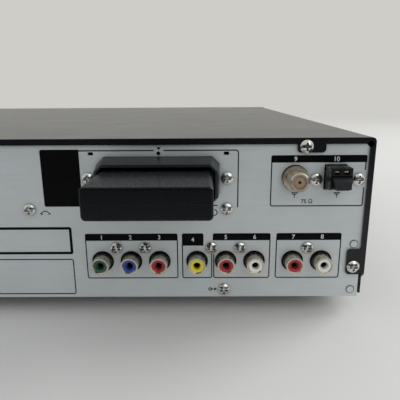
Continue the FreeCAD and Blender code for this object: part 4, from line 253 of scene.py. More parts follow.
def coloured_so_far(material):
    """The tree of a finish, its shader, and the output that gives its colour so far."""
    tree = material.node_tree
    surface = next(n for n in tree.nodes if n.bl_idname == "ShaderNodeBsdfPrincipled")
    return tree, surface, surface.inputs["Base Color"].links[0].from_socket


def toned(colour, factor):
    """The same colour, lighter or darker."""
    return tuple(min(1.0, c * factor) for c in colour[:3]) + (1.0,)


def painted_recess_shade(tree, colour, reach_mm, share):
    """Painted shade: the colour, darker by a share in corners and recesses, where shade falls."""
    nook = add_node(tree, "ShaderNodeAmbientOcclusion", {"samples": 8}, {"Distance": reach_mm * MM})
    depth = add_node(tree, "ShaderNodeMapRange", inputs={
        "Value": nook.outputs["AO"], "From Min": 0.1, "From Max": 0.95, "To Min": 1.0 - share, "To Max": 1.0})
    return add_node(tree, "ShaderNodeMix", MULTIPLIED, {SHARE: 1.0, DARK: colour, LIGHT: depth})


def beyond(tree, start, run=0.0001):
    """0 inside the receiver and 1 past a distance towards its rear, over a short run."""
    place = add_node(tree, "ShaderNodeTexCoord").outputs["Object"]
    depth = add_node(tree, "ShaderNodeSeparateXYZ", inputs={"Vector": place}).outputs["Y"]
    return add_node(tree, "ShaderNodeMapRange", inputs={
        "Value": depth, "From Min": start, "From Max": start + run})


def grained(name, colour, roughness, grain_mm, height_mm, spread=0.12, sheen_mm=9.0, cloudy=0.06, **shader):
    """A moulded or coated surface: an even fine grain, and a slow change of shade and gloss over it.

    The grain of most mouldings is under 0.1 mm, so it is drawn several times as coarse, to show at all.
    """
    made, tree, place, surface = start_finish(name, **shader)
    grain = add_node(tree, "ShaderNodeTexNoise", inputs={
        "Vector": place, "Scale": per_metre(grain_mm), "Detail": 1.5, "Roughness": 0.5})
    cloud = add_node(tree, "ShaderNodeTexNoise", inputs={
        "Vector": place, "Scale": per_metre(sheen_mm), "Detail": 2.0, "Roughness": 0.6})
    bump = add_node(tree, "ShaderNodeBump", inputs={
        "Strength": 0.55, "Distance": height_mm * MM, "Height": grain})
    tone = add_node(tree, "ShaderNodeMix", COLOURS, {
        SHARE: cloud, DARK: toned(colour, 1 - spread), LIGHT: toned(colour, 1 + spread)})
    gloss = add_node(tree, "ShaderNodeMapRange", inputs={
        "Value": cloud, "From Min": 0.25, "From Max": 0.75,
        "To Min": roughness - cloudy, "To Max": roughness + cloudy})
    feed(tree, surface, Base_Color=tone, Roughness=gloss, Normal=bump)
    return made


def hollowed(name, colour, roughness, reach_mm, level=0.5, shaded_foot=0.0):
    """A smooth moulded surface with painted shade in its recesses, and painted black shade at its foot on the
    panel.
    """
    made = grained(name, colour, roughness, 0.6, 0.012, IOR=1.53, Specular_IOR_Level=level)
    tree, surface, tone = coloured_so_far(made)
    tone = painted_recess_shade(tree, tone, reach_mm, 0.95)
    if shaded_foot:
        # Painted shade: black near the panel, where the gap at the frame's foot lies in shadow.
        tone = add_node(tree, "ShaderNodeMix", COLOURS, {
            SHARE: beyond(tree, shaded_foot, 0.0006), DARK: linear("#020203"), LIGHT: tone})
    feed(tree, surface, Base_Color=tone)
    return made


def rolled(name, colour, roughness, long_mm, wide_mm, along, spread=0.07, shade=0.0, metal=1.0):
    """Rolled, drawn or ground metal: marks that run one way, with soft patches of the coat over them.

    The real marks are under 0.1 mm wide, so they are drawn several times as wide, to show at all.
    """
    made, tree, place, surface = start_finish(name, Metallic=metal)
    stretch = [per_metre(wide_mm)] * 3
    stretch[along] = per_metre(long_mm)
    marks = add_node(tree, "ShaderNodeMapping", inputs={"Vector": place, "Scale": stretch})
    grain = add_node(tree, "ShaderNodeTexNoise", inputs={
        "Vector": marks, "Scale": 1.0, "Detail": 3.0, "Roughness": 0.6})
    patch = add_node(tree, "ShaderNodeTexNoise", inputs={
        "Vector": place, "Scale": per_metre(18), "Detail": 2.0, "Roughness": 0.5})
    both = add_node(tree, "ShaderNodeMix", inputs={SHARE: 0.3, NUMBER_A: grain, NUMBER_B: patch})
    bump = add_node(tree, "ShaderNodeBump", inputs={"Strength": 0.35, "Distance": 0.02 * MM, "Height": grain})
    uneven = add_node(tree, "ShaderNodeMapRange", inputs={**NOISE_SPAN, "Value": both})
    tone = add_node(tree, "ShaderNodeMix", COLOURS, {
        SHARE: uneven, DARK: toned(colour, 1 - spread), LIGHT: toned(colour, 1 + spread)})
    # Painted shade: darker in corners and recesses, when a share of shade is given.
    if shade:
        tone = painted_recess_shade(tree, tone, 3.0, shade)
    gloss = add_node(tree, "ShaderNodeMapRange", inputs={
        **NOISE_SPAN, "Value": grain, "To Min": roughness - 0.08, "To Max": roughness + 0.08})
    feed(tree, surface, Base_Color=tone, Roughness=gloss, Normal=bump)
    return made


def plated(name, colour, roughness, mottle_mm=1.6, spread=0.1, shade=0.0, nook_mm=1.0):
    """Bright plate over a turned or stamped part: a mirror that clouds and dulls in small patches."""
    made, tree, place, surface = start_finish(name, Metallic=1.0)
    mottle = add_node(tree, "ShaderNodeTexNoise", inputs={
        "Vector": place, "Scale": per_metre(mottle_mm), "Detail": 3.0, "Roughness": 0.6})
    bump = add_node(tree, "ShaderNodeBump", inputs={
        "Strength": 0.25, "Distance": 0.02 * MM, "Height": mottle})
    uneven = add_node(tree, "ShaderNodeMapRange", inputs={**NOISE_SPAN, "Value": mottle})
    tone = add_node(tree, "ShaderNodeMix", COLOURS, {
        SHARE: uneven, DARK: toned(colour, 1 - spread * 2), LIGHT: toned(colour, 1 + spread)})
    # Painted shade: darker in corners and recesses, when a share of shade is given.
    if shade:
        tone = painted_recess_shade(tree, tone, nook_mm, shade)
    gloss = add_node(tree, "ShaderNodeMapRange", inputs={
        **NOISE_SPAN, "Value": mottle, "To Min": roughness - 0.08, "To Max": roughness + 0.12})
    feed(tree, surface, Base_Color=tone, Roughness=gloss, Normal=bump)
    return made


def laminate(name, mask, copper_mm=1.1):
    """Printed circuit board: green solder mask with raised tracks under it, and tin on the pads."""
    made, tree, place, surface = start_finish(name, IOR=1.5)
    lane = add_node(tree, "ShaderNodeTexBrick", {"offset": 0.37, "squash": 0.6}, {
        "Vector": place, "Scale": per_metre(copper_mm) / 4, "Mortar Size": 0.035,
        "Brick Width": 3.1, "Row Height": 0.5,
        "Color1": toned(mask, 0.8), "Color2": toned(mask, 1.1), "Mortar": toned(mask, 2.1)})
    spots = add_node(tree, "ShaderNodeTexVoronoi", inputs={"Vector": place, "Scale": per_metre(4.2)})
    pad = add_node(tree, "ShaderNodeMapRange", inputs={
        "Value": spots.outputs["Distance"], "From Min": 0.13, "From Max": 0.16, "To Min": 1.0, "To Max": 0.0})
    bump = add_node(tree, "ShaderNodeBump", inputs={
        "Strength": 0.5, "Distance": 0.03 * MM, "Height": lane.outputs["Fac"]})
    tone = add_node(tree, "ShaderNodeMix", COLOURS, {
        SHARE: pad, DARK: lane.outputs["Color"], LIGHT: linear("#b9b8b0")})
    gloss = add_node(tree, "ShaderNodeMapRange", inputs={"Value": pad, "To Min": 0.38, "To Max": 0.3})
    feed(tree, surface, Base_Color=tone, Metallic=pad, Roughness=gloss, Normal=bump)
    return made


def smoked(name, colour):
    """Smoked acrylic: a clear dark sheet with a polished face."""
    made, tree, place, surface = start_finish(name, IOR=1.49, Transmission_Weight=0.75)
    haze = add_node(tree, "ShaderNodeTexNoise", inputs={"Vector": place, "Scale": per_metre(14)})
    tone = add_node(tree, "ShaderNodeMix", COLOURS, {
        SHARE: haze, DARK: toned(colour, 0.9), LIGHT: toned(colour, 1.1)})
    gloss = add_node(tree, "ShaderNodeMapRange", inputs={"Value": haze, "To Min": 0.04, "To Max": 0.09})
    feed(tree, surface, Base_Color=tone, Roughness=gloss)
    return made


def two_metals(name, steel, plate, from_metres):
    """A zinc coated can whose parts behind the panel's face are dull, and beyond it bright warm plate."""
    made, tree, place, surface = start_finish(name, Metallic=1.0)
    mottle = add_node(tree, "ShaderNodeTexNoise", inputs={
        "Vector": place, "Scale": per_metre(2.2), "Detail": 3.0})
    tone = add_node(tree, "ShaderNodeMix", COLOURS, {
        SHARE: beyond(tree, from_metres), DARK: steel, LIGHT: plate})
    film = add_node(tree, "ShaderNodeMapRange", inputs={
        "Value": mottle, "From Min": 0.4, "From Max": 0.75, "To Min": 0.0, "To Max": 0.45})
    dull = add_node(tree, "ShaderNodeMix", MULTIPLIED, {SHARE: film, DARK: tone, LIGHT: linear("#8c8981")})
    gloss = add_node(tree, "ShaderNodeMapRange", inputs={
        **NOISE_SPAN, "Value": mottle, "To Min": 0.2, "To Max": 0.42})
    feed(tree, surface, Base_Color=dull, Roughness=gloss)
    return made


def rooted(name, plate, from_metres):
    """Bright plate on a jack shell, with painted shade in its recesses, and black behind the panel's face."""
    made = plated(name, plate, 0.25, mottle_mm=0.8, spread=0.16, shade=0.3, nook_mm=1.2)
    tree, surface, tone = coloured_so_far(made)
    out = beyond(tree, from_metres)
    tone = add_node(tree, "ShaderNodeMix", COLOURS, {SHARE: out, DARK: linear("#08080a"), LIGHT: tone})
    feed(tree, surface, Base_Color=tone, Metallic=out)
    return made


def moulded_shell(name, colour, spark_mm, seam):
    """A two-part moulded shell: spark eroded texture, the faint line of its halves with a painted highlight
    along it, and painted light on its top.

    The pits of such a texture are about 0.1 mm wide, so they are drawn coarser, to show at all.
    """
    made, tree, place, surface = start_finish(name, IOR=1.53, Specular_IOR_Level=0.2)
    grain = add_node(tree, "ShaderNodeTexNoise", inputs={
        "Vector": place, "Scale": per_metre(spark_mm), "Detail": 2.0, "Roughness": 0.6})
    height = add_node(tree, "ShaderNodeSeparateXYZ", inputs={"Vector": place}).outputs["Z"]
    away = add_node(tree, "ShaderNodeMath", {"operation": "SUBTRACT"}, {0: height, 1: seam})
    apart = add_node(tree, "ShaderNodeMath", {"operation": "ABSOLUTE"}, {0: away})
    join = add_node(tree, "ShaderNodeMapRange", inputs={
        "Value": apart, "From Min": 0.00008, "From Max": 0.0002, "To Min": 1.0, "To Max": 0.0})
    both = add_node(tree, "ShaderNodeMath", {"operation": "ADD"}, {0: grain, 1: join})
    bump = add_node(tree, "ShaderNodeBump", inputs={"Strength": 0.6, "Distance": 0.03 * MM, "Height": both})
    speck = add_node(tree, "ShaderNodeMapRange", inputs={"Value": grain, "From Min": 0.55, "From Max": 0.75})
    tone = add_node(tree, "ShaderNodeMix", COLOURS, {
        SHARE: speck, DARK: toned(colour, 0.85), LIGHT: toned(colour, 1.9)})
    # Painted light: surfaces that face up are paler, as lit from above.
    slope = add_node(tree, "ShaderNodeNewGeometry").outputs["Normal"]
    facing = add_node(tree, "ShaderNodeSeparateXYZ", inputs={"Vector": slope}).outputs["Z"]
    level = add_node(tree, "ShaderNodeMapRange", inputs={"Value": facing, "From Min": 0.6, "From Max": 0.95})
    top_light = add_node(tree, "ShaderNodeMix", COLOURS, {
        SHARE: speck, DARK: linear("#23272a"), LIGHT: linear("#3b3f42")})
    top_lit = add_node(tree, "ShaderNodeMix", COLOURS, {SHARE: level, DARK: tone, LIGHT: top_light})
    # Painted highlight along the real seam of the halves.
    seam_lightened = add_node(tree, "ShaderNodeMix", COLOURS, {SHARE: join, DARK: top_lit, LIGHT: toned(colour, 2.6)})
    gloss = add_node(tree, "ShaderNodeMapRange", inputs={
        **NOISE_SPAN, "Value": grain, "To Min": 0.18, "To Max": 0.34})
    feed(tree, surface, Base_Color=seam_lightened, Roughness=gloss, Normal=bump)
    return made


def ink(name, colour):
    """Screen printed ink: a thin even film, a little rough, with a faint break of the weave in it.

    The weave of the screen is about 0.1 mm, so it is drawn coarser, to show at all.
    """
    made, tree, place, surface = start_finish(name, IOR=1.5, Specular_IOR_Level=0.1)
    weave = add_node(tree, "ShaderNodeTexNoise", inputs={
        "Vector": place, "Scale": per_metre(0.5), "Detail": 1.0})
    tone = add_node(tree, "ShaderNodeMix", COLOURS, {
        SHARE: weave, DARK: toned(colour, 0.85), LIGHT: toned(colour, 1.15)})
    gloss = add_node(tree, "ShaderNodeMapRange", inputs={"Value": weave, "To Min": 0.42, "To Max": 0.56})
    feed(tree, surface, Base_Color=tone, Roughness=gloss)
    return made


def dress(material, *nodes):
    """Gives a material to all faces of these solids."""
    for name in nodes:
        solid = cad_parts[name]
        if not solid.material_slots:
            solid.data.materials.append(material)
        for place in solid.material_slots:
            place.material = material


# Shapes of prints and fittings

def build_piece(name, corners, faces, material, body, smooth=False):
    """A new mesh that moves with one body and takes the finish that it is given."""
    mesh = bpy.data.meshes.new(name)
    mesh.from_pydata([tuple(c) for c in corners], [], faces)
    mesh.validate()
    mesh.materials.append(material)
    mesh.polygons.foreach_set("use_smooth", [smooth] * len(mesh.polygons))
    mesh.update()
    piece = bpy.data.objects.new(name, mesh)
    bpy.context.scene.collection.objects.link(piece)
    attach(piece, body)
    return piece


def on_panel(across, up):
    """A point of the print, right of the rear panel's middle as seen from behind, and up from its edge."""
    return Vector((-across * MM, PANEL_FACE + PRINT_LIFT, PANEL_FOOT + up * MM))


def arc(middle, radius, start, stop, steps=6):
    """Points on a round corner, by angles in degrees."""
    made = []
    for k in range(steps + 1):
        turn = math.radians(start + (stop - start) * k / steps)
        made.append((middle[0] + radius * math.cos(turn), middle[1] + radius * math.sin(turn)))
    return made


def plaque(left, right, low, high, radii):
    """The outline of a bar with its own radius at each corner: low left, low right, high right, high left."""
    corners = ((left, low, 180), (right, low, 270), (right, high, 0), (left, high, 90))
    made = []
    for (x, z, start), radius in zip(corners, radii):
        if radius <= 0:
            made.append((x, z))
            continue
        middle = (x + radius * (1 if x == left else -1), z + radius * (1 if z == low else -1))
        made.extend(arc(middle, radius, start, start + 90))
    return made


def line(points, width, closed=False):
    """A flat line of even width along the points, as corners and faces."""
    spots = [Vector(p) for p in points]
    last = len(spots) - 1
    inner, outer = [], []
    for k, spot in enumerate(spots):
        before = spots[k - 1] if closed or k else None
        after = spots[(k + 1) % len(spots)] if closed or k < last else None
        first = (spot - before).normalized() if before is not None else (after - spot).normalized()
        second = (after - spot).normalized() if after is not None else first
        lean = (first + second).normalized()
        side = Vector((-lean.y, lean.x)) * (width / 2 / max(0.3, lean.dot(first)))
        inner.append(tuple(spot - side))
        outer.append(tuple(spot + side))
    count = len(spots)
    faces = []
    for k in range(count if closed else last):
        n = (k + 1) % count
        faces.append((k, n, count + n, count + k))
    return inner + outer, faces


def solid_shape(points):
    """A filled outline, as corners and one face."""
    return list(points), [tuple(range(len(points)))]


def figure(text, height, middle):
    """A plain number as flat faces, by the height of its digits."""
    words = bpy.data.curves.new("figure", "FONT")
    words.body = text
    words.size = height / 0.73
    words.offset = height * 0.018
    words.align_x = "CENTER"
    words.resolution_u = 4
    holder = bpy.data.objects.new("figure", words)
    mesh = bpy.data.meshes.new_from_object(holder)
    corners = [(v.co.x + middle[0], v.co.y + middle[1] - height / 2) for v in mesh.vertices]
    faces = [tuple(p.vertices) for p in mesh.polygons]
    bpy.data.objects.remove(holder)
    bpy.data.curves.remove(words)
    bpy.data.meshes.remove(mesh)
    if not faces:
        raise RuntimeError(f"the number {text} has no faces")
    return corners, faces


def printed(name, shapes, place, material, body):
    """One print of many flat shapes, which place puts on their surface."""
    corners, faces = [], []
    for points, rows in shapes:
        start = len(corners)
        corners.extend(place(*p) for p in points)
        faces.extend(tuple(start + k for k in row) for row in rows)
    return build_piece(name, corners, faces, material, body)


def sleeve(name, middle, rings, steps, material, body):
    """A round fitting along Y, from pairs of a radius that changes over the turn and a distance."""
    corners, faces = [], []
    for radius, reach in rings:
        for s in range(steps):
            turn = 2 * math.pi * s / steps
            wide = radius(s / steps)
            corners.append((middle.x + wide * math.cos(turn), reach, middle.z + wide * math.sin(turn)))
    for k in range(len(rings) - 1):
        for s in range(steps):
            n = (s + 1) % steps
            faces.append((k * steps + s, (k + 1) * steps + s, (k + 1) * steps + n, k * steps + n))
    return build_piece(name, corners, faces, material, body, smooth=True)


# Sizes of the print, in millimetres right of the panel's middle and above its lower edge.
# A bar or frame is left, right, low and high. A line is its points in order.

HEADER_BARS = (
    (78.4, 123.45, 29.9, 33.5),      # jacks 1 to 3
    (125.5, 136.0, 27.2, 33.5),      # jack 4
    (140.5, 168.5, 29.9, 33.5),      # jacks 5 and 6
    (171.3, 202.8, 29.9, 33.5),      # jacks 7 and 8
    (167.5, 211.8, 67.9, 71.3),      # aerial inputs
    (-162.0, -84.0, 47.0, 50.6),     # loudspeaker sockets
)
SLOT_FIELD = (60.4, 78.5, 47.2, 74.4)
THIN_FRAMES = (
    (11.0, 31.0, 8.6, 21.6),         # flat video socket
    (33.0, 71.8, 1.85, 20.3),
)
HEAVY_FRAME = (12.8, 72.2, 23.0, 37.0)
HEAVY_CORNER = 0.5
SLOT_CORNER = 1.4                    # the slot's lines turn wider than the groups' lines, by this factor
MARK_LINE = 0.42
GROUP_LINES = (
    ((78.6, 29.9), (78.6, 10.3), (123.25, 10.3), (123.25, 29.9)),
    ((125.7, 27.4), (125.7, 10.3), (140.0, 10.3), (140.0, 22.8)),
    ((141.0, 22.8), (141.0, 10.3), (168.3, 10.3), (168.3, 29.9)),
    ((171.5, 29.9), (171.5, 10.3), (202.6, 10.3), (202.6, 29.9)),
    ((167.8, 67.9), (167.8, 47.1), (211.3, 47.1), (211.3, 56.0)),
    ((211.3, 64.2), (211.3, 67.9)),
    ((-161.8, 47.0), (-161.8, 10.3), (-84.2, 10.3), (-84.2, 47.0)),
)
SLOT_LINES = (
    ((78.4, 73.8), (113.2, 73.8)),
    ((117.8, 73.8), (152.3, 73.8), (152.3, 46.6)),
    ((136.6, 47.5), (142.7, 47.5)),
)
FIGURES = (
    ("1", 86.45, 31.7), ("2", 100.45, 31.7), ("3", 114.45, 31.7), ("4", 130.75, 30.4),
    ("5", 146.81, 31.7), ("6", 160.81, 31.7), ("7", 179.52, 31.7), ("8", 193.52, 31.7),
    ("9", 178.8, 69.6), ("10", 197.65, 69.6),
    ("11", -140.0, 48.8), ("12", -123.0, 48.8), ("13", -106.0, 48.8),
)


def rounded_path(points, radius):
    """The same open path with its inner corners rounded."""
    made = [points[0]]
    for k in range(1, len(points) - 1):
        spot, before, after = Vector(points[k]), Vector(points[k - 1]), Vector(points[k + 1])
        into, away = (before - spot).normalized(), (after - spot).normalized()
        middle = spot + (into + away) * radius
        for step in range(7):
            turn = math.pi / 2 * step / 6
            made.append(tuple(middle - away * radius * math.cos(turn) - into * radius * math.sin(turn)))
    made.append(points[-1])
    return made


def closed_line(left, right, low, high, width, radius):
    """A frame line with round corners."""
    return line(plaque(left, right, low, high, (radius,) * 4), width, closed=True)


def aerial_mark(x, z, size):
    """The usual sign of an aerial: a triangle that points down, on a mast."""
    top = z + size / 2
    return [line(((x - size / 2, top), (x + size / 2, top), (x, z)), size * 0.12, closed=True),
            line(((x, top), (x, z - size / 2)), size * 0.12)]


def mark_shapes():
    """Small marks beside the fasteners and under the aerial inputs."""
    return [
        # A triangle at the middle of the slot
        solid_shape(((114.5, 75.3), (115.5, 74.0), (116.5, 75.3))),
        # An arc with two ends beside the left screw of the slot, and half a ring beside the right one
        line(arc((60.4, 42.9), 2.1, 25, 155, 10), MARK_LINE),
        line(((57.9, 43.9), (59.0, 43.3)), MARK_LINE),
        line(((61.8, 43.3), (62.9, 43.9)), MARK_LINE),
        line(arc((141.2, 44.0), 1.4, -100, 90, 10), 0.45),
        # An arrow with a ring at its tail, beside the lower screw
        line(((138.9, 4.1), (141.6, 4.1)), 0.4),
        solid_shape(((141.4, 3.2), (142.6, 4.1), (141.4, 5.0))),
        line(arc((139.3, 4.1), 0.8, 0, 360, 12)[:-1], 0.34, closed=True),
        # The aerial's sign under each input, and the coaxial input's resistance
        *aerial_mark(179.0, 52.2, 2.6),
        *aerial_mark(198.9, 52.2, 2.6),
        figure("75 \u03a9", 2.0, (184.9, 49.4)),
    ]


# Operators

class RECEIVER_OT_finish_case(bpy.types.Operator):
    """Paints the cover and gives the panel, chassis, screws and feet their metals and rubber"""

    bl_idname = "receiver.finish_case"
    bl_label = "Finish the case"

    def execute(self, context):
        looks = wanted("case")
        # Polyester powder coat on steel sheet: it looks satin black, with the low bumps of cured powder.
        coat = grained("powder_coated_steel", looks.paint, 0.27, looks.paint_grain / MM, 0.012,
                       spread=0.05, sheen_mm=25, cloudy=0.015, IOR=1.5, Specular_IOR_Level=0.35)
        marks = (looks.grain_length / MM, looks.grain_width / MM, ALONG_X)
        # Cold rolled sheet, zinc coated, with a clear seal that takes half of its metal look: silver grey,
        # with fine marks that run across the panel.
        # Painted shade darkens the panel round the jacks, screws and other fittings.
        panel = rolled("sealed_zinc_sheet", looks.panel, 0.54, *marks, shade=0.55, metal=0.45)
        # The chassis is the same sheet without the seal, so it is a little duller and more patched.
        floor = rolled("zinc_sheet", looks.zinc, 0.5, *marks, spread=0.12)
        # Bright zinc plate on cold headed steel: nearly a mirror, dulled in small patches, with painted shade
        # in the cross recesses.
        screws = plated("bright_zinc_plate", linear("#e2e3e0"), 0.17, mottle_mm=0.9, spread=0.14,
                        shade=0.92, nook_mm=0.9)
        # Chloroprene rubber, moulded: dull black with an even fine grain.
        rubber = grained("moulded_rubber", linear("#1b1b1c"), 0.75, 0.7, 0.02, IOR=1.52)
        dress(coat, "top_cover")
        dress(panel, "rear_panel")
        dress(floor, "bottom_chassis")
        dress(screws, "rear_screws", "cover_screws")
        dress(rubber, "feet")
        return {"FINISHED"}


class RECEIVER_OT_print_panel(bpy.types.Operator):
    """Prints the bars, lines, numbers and small marks on the rear panel"""

    bl_idname = "receiver.print_panel"
    bl_label = "Print the rear panel"

    def execute(self, context):
        looks = wanted("print")
        # Epoxy screen ink, dried: a flat film with a soft gloss.
        black = ink("black_screen_ink", looks.ink)
        white = ink("white_screen_ink", looks.figure_ink)
        width, corner = looks.line / MM, looks.corner / MM
        bars = [solid_shape(plaque(*bar, (0, 0, corner, corner))) for bar in HEADER_BARS]
        bars.append(solid_shape(plaque(*SLOT_FIELD, (corner, 0, 0, corner))))
        printed("header_bars", bars, on_panel, black, "case")
        lines = [line(rounded_path(points, corner), width) for points in GROUP_LINES]
        lines += [line(rounded_path(points, corner * SLOT_CORNER), width) for points in SLOT_LINES]
        lines += [closed_line(*frame_line, width, corner) for frame_line in THIN_FRAMES]
        heavy = looks.heavy_line / MM
        left, right, low, high = HEAVY_FRAME
        inner = (left, right - heavy / 2, low + heavy / 2, high - heavy / 2)
        lines.append(closed_line(*inner, heavy, HEAVY_CORNER))
        printed("group_lines", lines, on_panel, black, "case")
        printed("panel_marks", mark_shapes(), on_panel, black, "case")
        numbers = [figure(text, looks.figure / MM, (x, z)) for text, x, z in FIGURES]

        def over_bars(across, up):
            return on_panel(across, up) + Vector((0, PRINT_LIFT, 0))

        printed("jack_numbers", numbers, over_bars, white, "case")
        return {"FINISHED"}


class RECEIVER_OT_fit_jacks(bpy.types.Operator):
    """Plates the jack shells, colours their insulators and fits the aerial inputs with thread and contacts"""

    bl_idname = "receiver.fit_jacks"
    bl_label = "Fit the jacks and aerial inputs"

    def execute(self, context):
        looks = wanted("jacks")
        # Nickel plate on drawn brass: warm, fairly bright, clouded by handling, with painted shade in its
        # recesses and black behind the panel's face.
        nickel = rooted("nickel_plate", looks.nickel, PANEL_FACE)
        dress(nickel, "phono_shells")
        # Tin plated bronze: softer and greyer than the nickel.
        tin = plated("tin_plate", linear("#b9b5aa"), 0.35)
        dress(tin, "phono_contacts")
        # Polypropylene insulators, moulded: a soft shine and a fine grain.
        colours = {"green_insulator": looks.green, "blue_insulator": looks.blue, "red_insulators": looks.red,
                   "yellow_insulator": looks.yellow, "white_insulators": looks.white}
        for name, colour in colours.items():
            dress(grained(name.split("_")[0] + "_polypropylene", colour, 0.36, 0.5, 0.015, IOR=1.49), name)
        # ABS jack blocks, moulded in black: a dull face with an even grain.
        dress(grained("black_moulded_abs", linear("#0c0d10"), 0.5, 0.6, 0.02,
                      IOR=1.53, Specular_IOR_Level=0.25), "phono_housings")
        # The wire terminal is the same plastic from a polished mould, so it shines, and painted shade darkens
        # its windows and recesses.
        dress(hollowed("black_polished_abs", linear("#08090b"), 0.28, 2.0, 0.4), "aerial_terminal")
        # The lever is the same plastic in a lighter batch, worn grey by its mould.
        dress(grained("grey_moulded_abs", linear("#1e1f22"), 0.5, 0.45, 0.05,
                      spread=0.35, sheen_mm=0.9, IOR=1.53, Specular_IOR_Level=0.4), "terminal_lever")
        # Zinc coated can inside, and the nickel plated barrel that stands out of it through the panel.
        can = two_metals("tuner_zinc_and_nickel", linear("#b4b6b6"), looks.nickel, PANEL_FACE - 0.0008)
        dress(can, "tuner_can")
        # PTFE core of the coaxial barrel, browned by the heat of soldering, with painted shade where it sits
        # in the barrel.
        dress(hollowed("tan_ptfe", linear("#9a8068"), 0.5, 1.0, 0.3), "coax_insulator")
        self.wind_thread(looks, can)
        self.fit_contacts(tin)
        return {"FINISHED"}

    def wind_thread(self, looks, metal):
        """Winds the coaxial barrel's thread over its root."""
        low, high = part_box("coax_insulator")
        pitch, depth = looks.thread_pitch, looks.thread_depth
        start, stop = (PANEL_FACE + reach for reach in THREAD_SPAN)
        count = int((stop - start) / pitch * THREAD_RINGS)

        def ridge(reach):
            def wide(share):
                phase = (reach / pitch - share) % 1.0
                ends = min(1.0, (reach - start) / pitch, (stop - reach) / pitch)
                return THREAD_ROOT + depth * max(0.0, ends) * (1 - abs(2 * phase - 1)) ** THREAD_CREST
            return wide

        reaches = [start + (stop - start) * k / count for k in range(count + 1)]
        rings = [(ridge(reach), reach) for reach in reaches]
        sleeve("coax_thread", (low + high) / 2, rings, wanted("stage").turns, metal, "case")

    def fit_contacts(self, metal):
        """Sets a bent spring strip in each window of the wire terminal."""
        low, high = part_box("aerial_terminal")
        front, top = high.y - STRIP_BACK, high.z - STRIP_DOWN
        corners, faces = [], []
        for side in (-1, 1):
            x = (low.x + high.x) / 2 + side * WINDOW_APART / 2
            start = len(corners)
            for back, down in STRIP_BENDS:
                y, z = front - back, top - down
                corners += [(x - STRIP_WIDTH / 2, y, z), (x + STRIP_WIDTH / 2, y, z)]
            for k in range(len(STRIP_BENDS) - 1):
                n = start + 2 * k
                faces.append((n, n + 1, n + 3, n + 2))
        build_piece("wire_contacts", corners, faces, metal, "case")


class RECEIVER_OT_finish_slot(bpy.types.Operator):
    """Gives the slot frame, its socket and the radio module their moulded plastics"""

    bl_idname = "receiver.finish_slot"
    bl_label = "Finish the slot and module"

    def execute(self, context):
        looks = wanted("slot")
        # ABS shell with a spark eroded texture: matt, blue black, paler where light grazes it.
        low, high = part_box("radio_module")
        seam = (low.z + high.z) / 2
        dress(moulded_shell("spark_textured_abs", looks.module, looks.spark / MM, seam), "radio_module")
        # ABS frame from a satin mould: dark grey, with painted black shade where it meets the panel and
        # painted shade inside its mouth.
        shaded_foot = PANEL_FACE + BEZEL_SHADED_FOOT
        dress(hollowed("satin_moulded_abs", looks.bezel, 0.34, 2.2, 0.4, shaded_foot), "slot_bezel")
        # Nylon with glass in it, moulded: the glass makes its face dull.
        dress(grained("glass_filled_nylon", linear("#1d1d1f"), 0.6, 0.8, 0.02, IOR=1.53), "card_socket")
        return {"FINISHED"}


class RECEIVER_OT_finish_sockets(bpy.types.Operator):
    """Finishes the mains inlet, loudspeaker sockets, flat video socket and fan"""

    bl_idname = "receiver.finish_sockets"
    bl_label = "Finish the other sockets"

    def execute(self, context):
        # Nylon, moulded in black and in dark grey: a soft low shine.
        dress(grained("black_nylon", linear("#18191b"), 0.48, 0.6, 0.02, IOR=1.53),
              "mains_inlet", "fan_frame")
        dress(grained("dark_nylon", linear("#2a2b2e"), 0.5, 0.6, 0.02, IOR=1.53),
              "speaker_sockets", "fan_rotor")
        # Stamped and plated steel shell of the flat video socket: bright, but less than the jacks.
        dress(plated("stamped_nickel_shell", linear("#c6c4bd"), 0.28), "video_socket")
        return {"FINISHED"}


class RECEIVER_OT_finish_boards(bpy.types.Operator):
    """Finishes the boards inside and the parts that stand on them"""

    bl_idname = "receiver.finish_boards"
    bl_label = "Finish the boards"

    def execute(self, context):
        # Glass epoxy laminate under green solder mask: glossy green, with tracks that show through.
        dress(laminate("green_masked_laminate", linear("#1f5a37")),
              "main_board", "amplifier_board", "front_board")
        # Paper phenolic laminate of the power board: brown, with wide tracks.
        dress(laminate("phenolic_laminate", linear("#7a5a33"), copper_mm=2.6), "power_board")
        # Extruded aluminium, clear anodised: fine lines along the fins.
        dress(rolled("extruded_aluminium", linear("#b8babb"), 0.38, 30, 0.4, ALONG_Z), "heat_sink")
        # Polyester tape round the windings and core of the transformer: yellow, smooth, in faint folds.
        dress(grained("polyester_tape", linear("#c9a93c"), 0.35, 2.5, 0.03, IOR=1.57), "transformer")
        # Shrunk PVC sleeve: shiny, dark blue.
        dress(grained("shrunk_pvc_sleeve", linear("#1d2340"), 0.28, 3.0, 0.02, IOR=1.53), "capacitors")
        return {"FINISHED"}


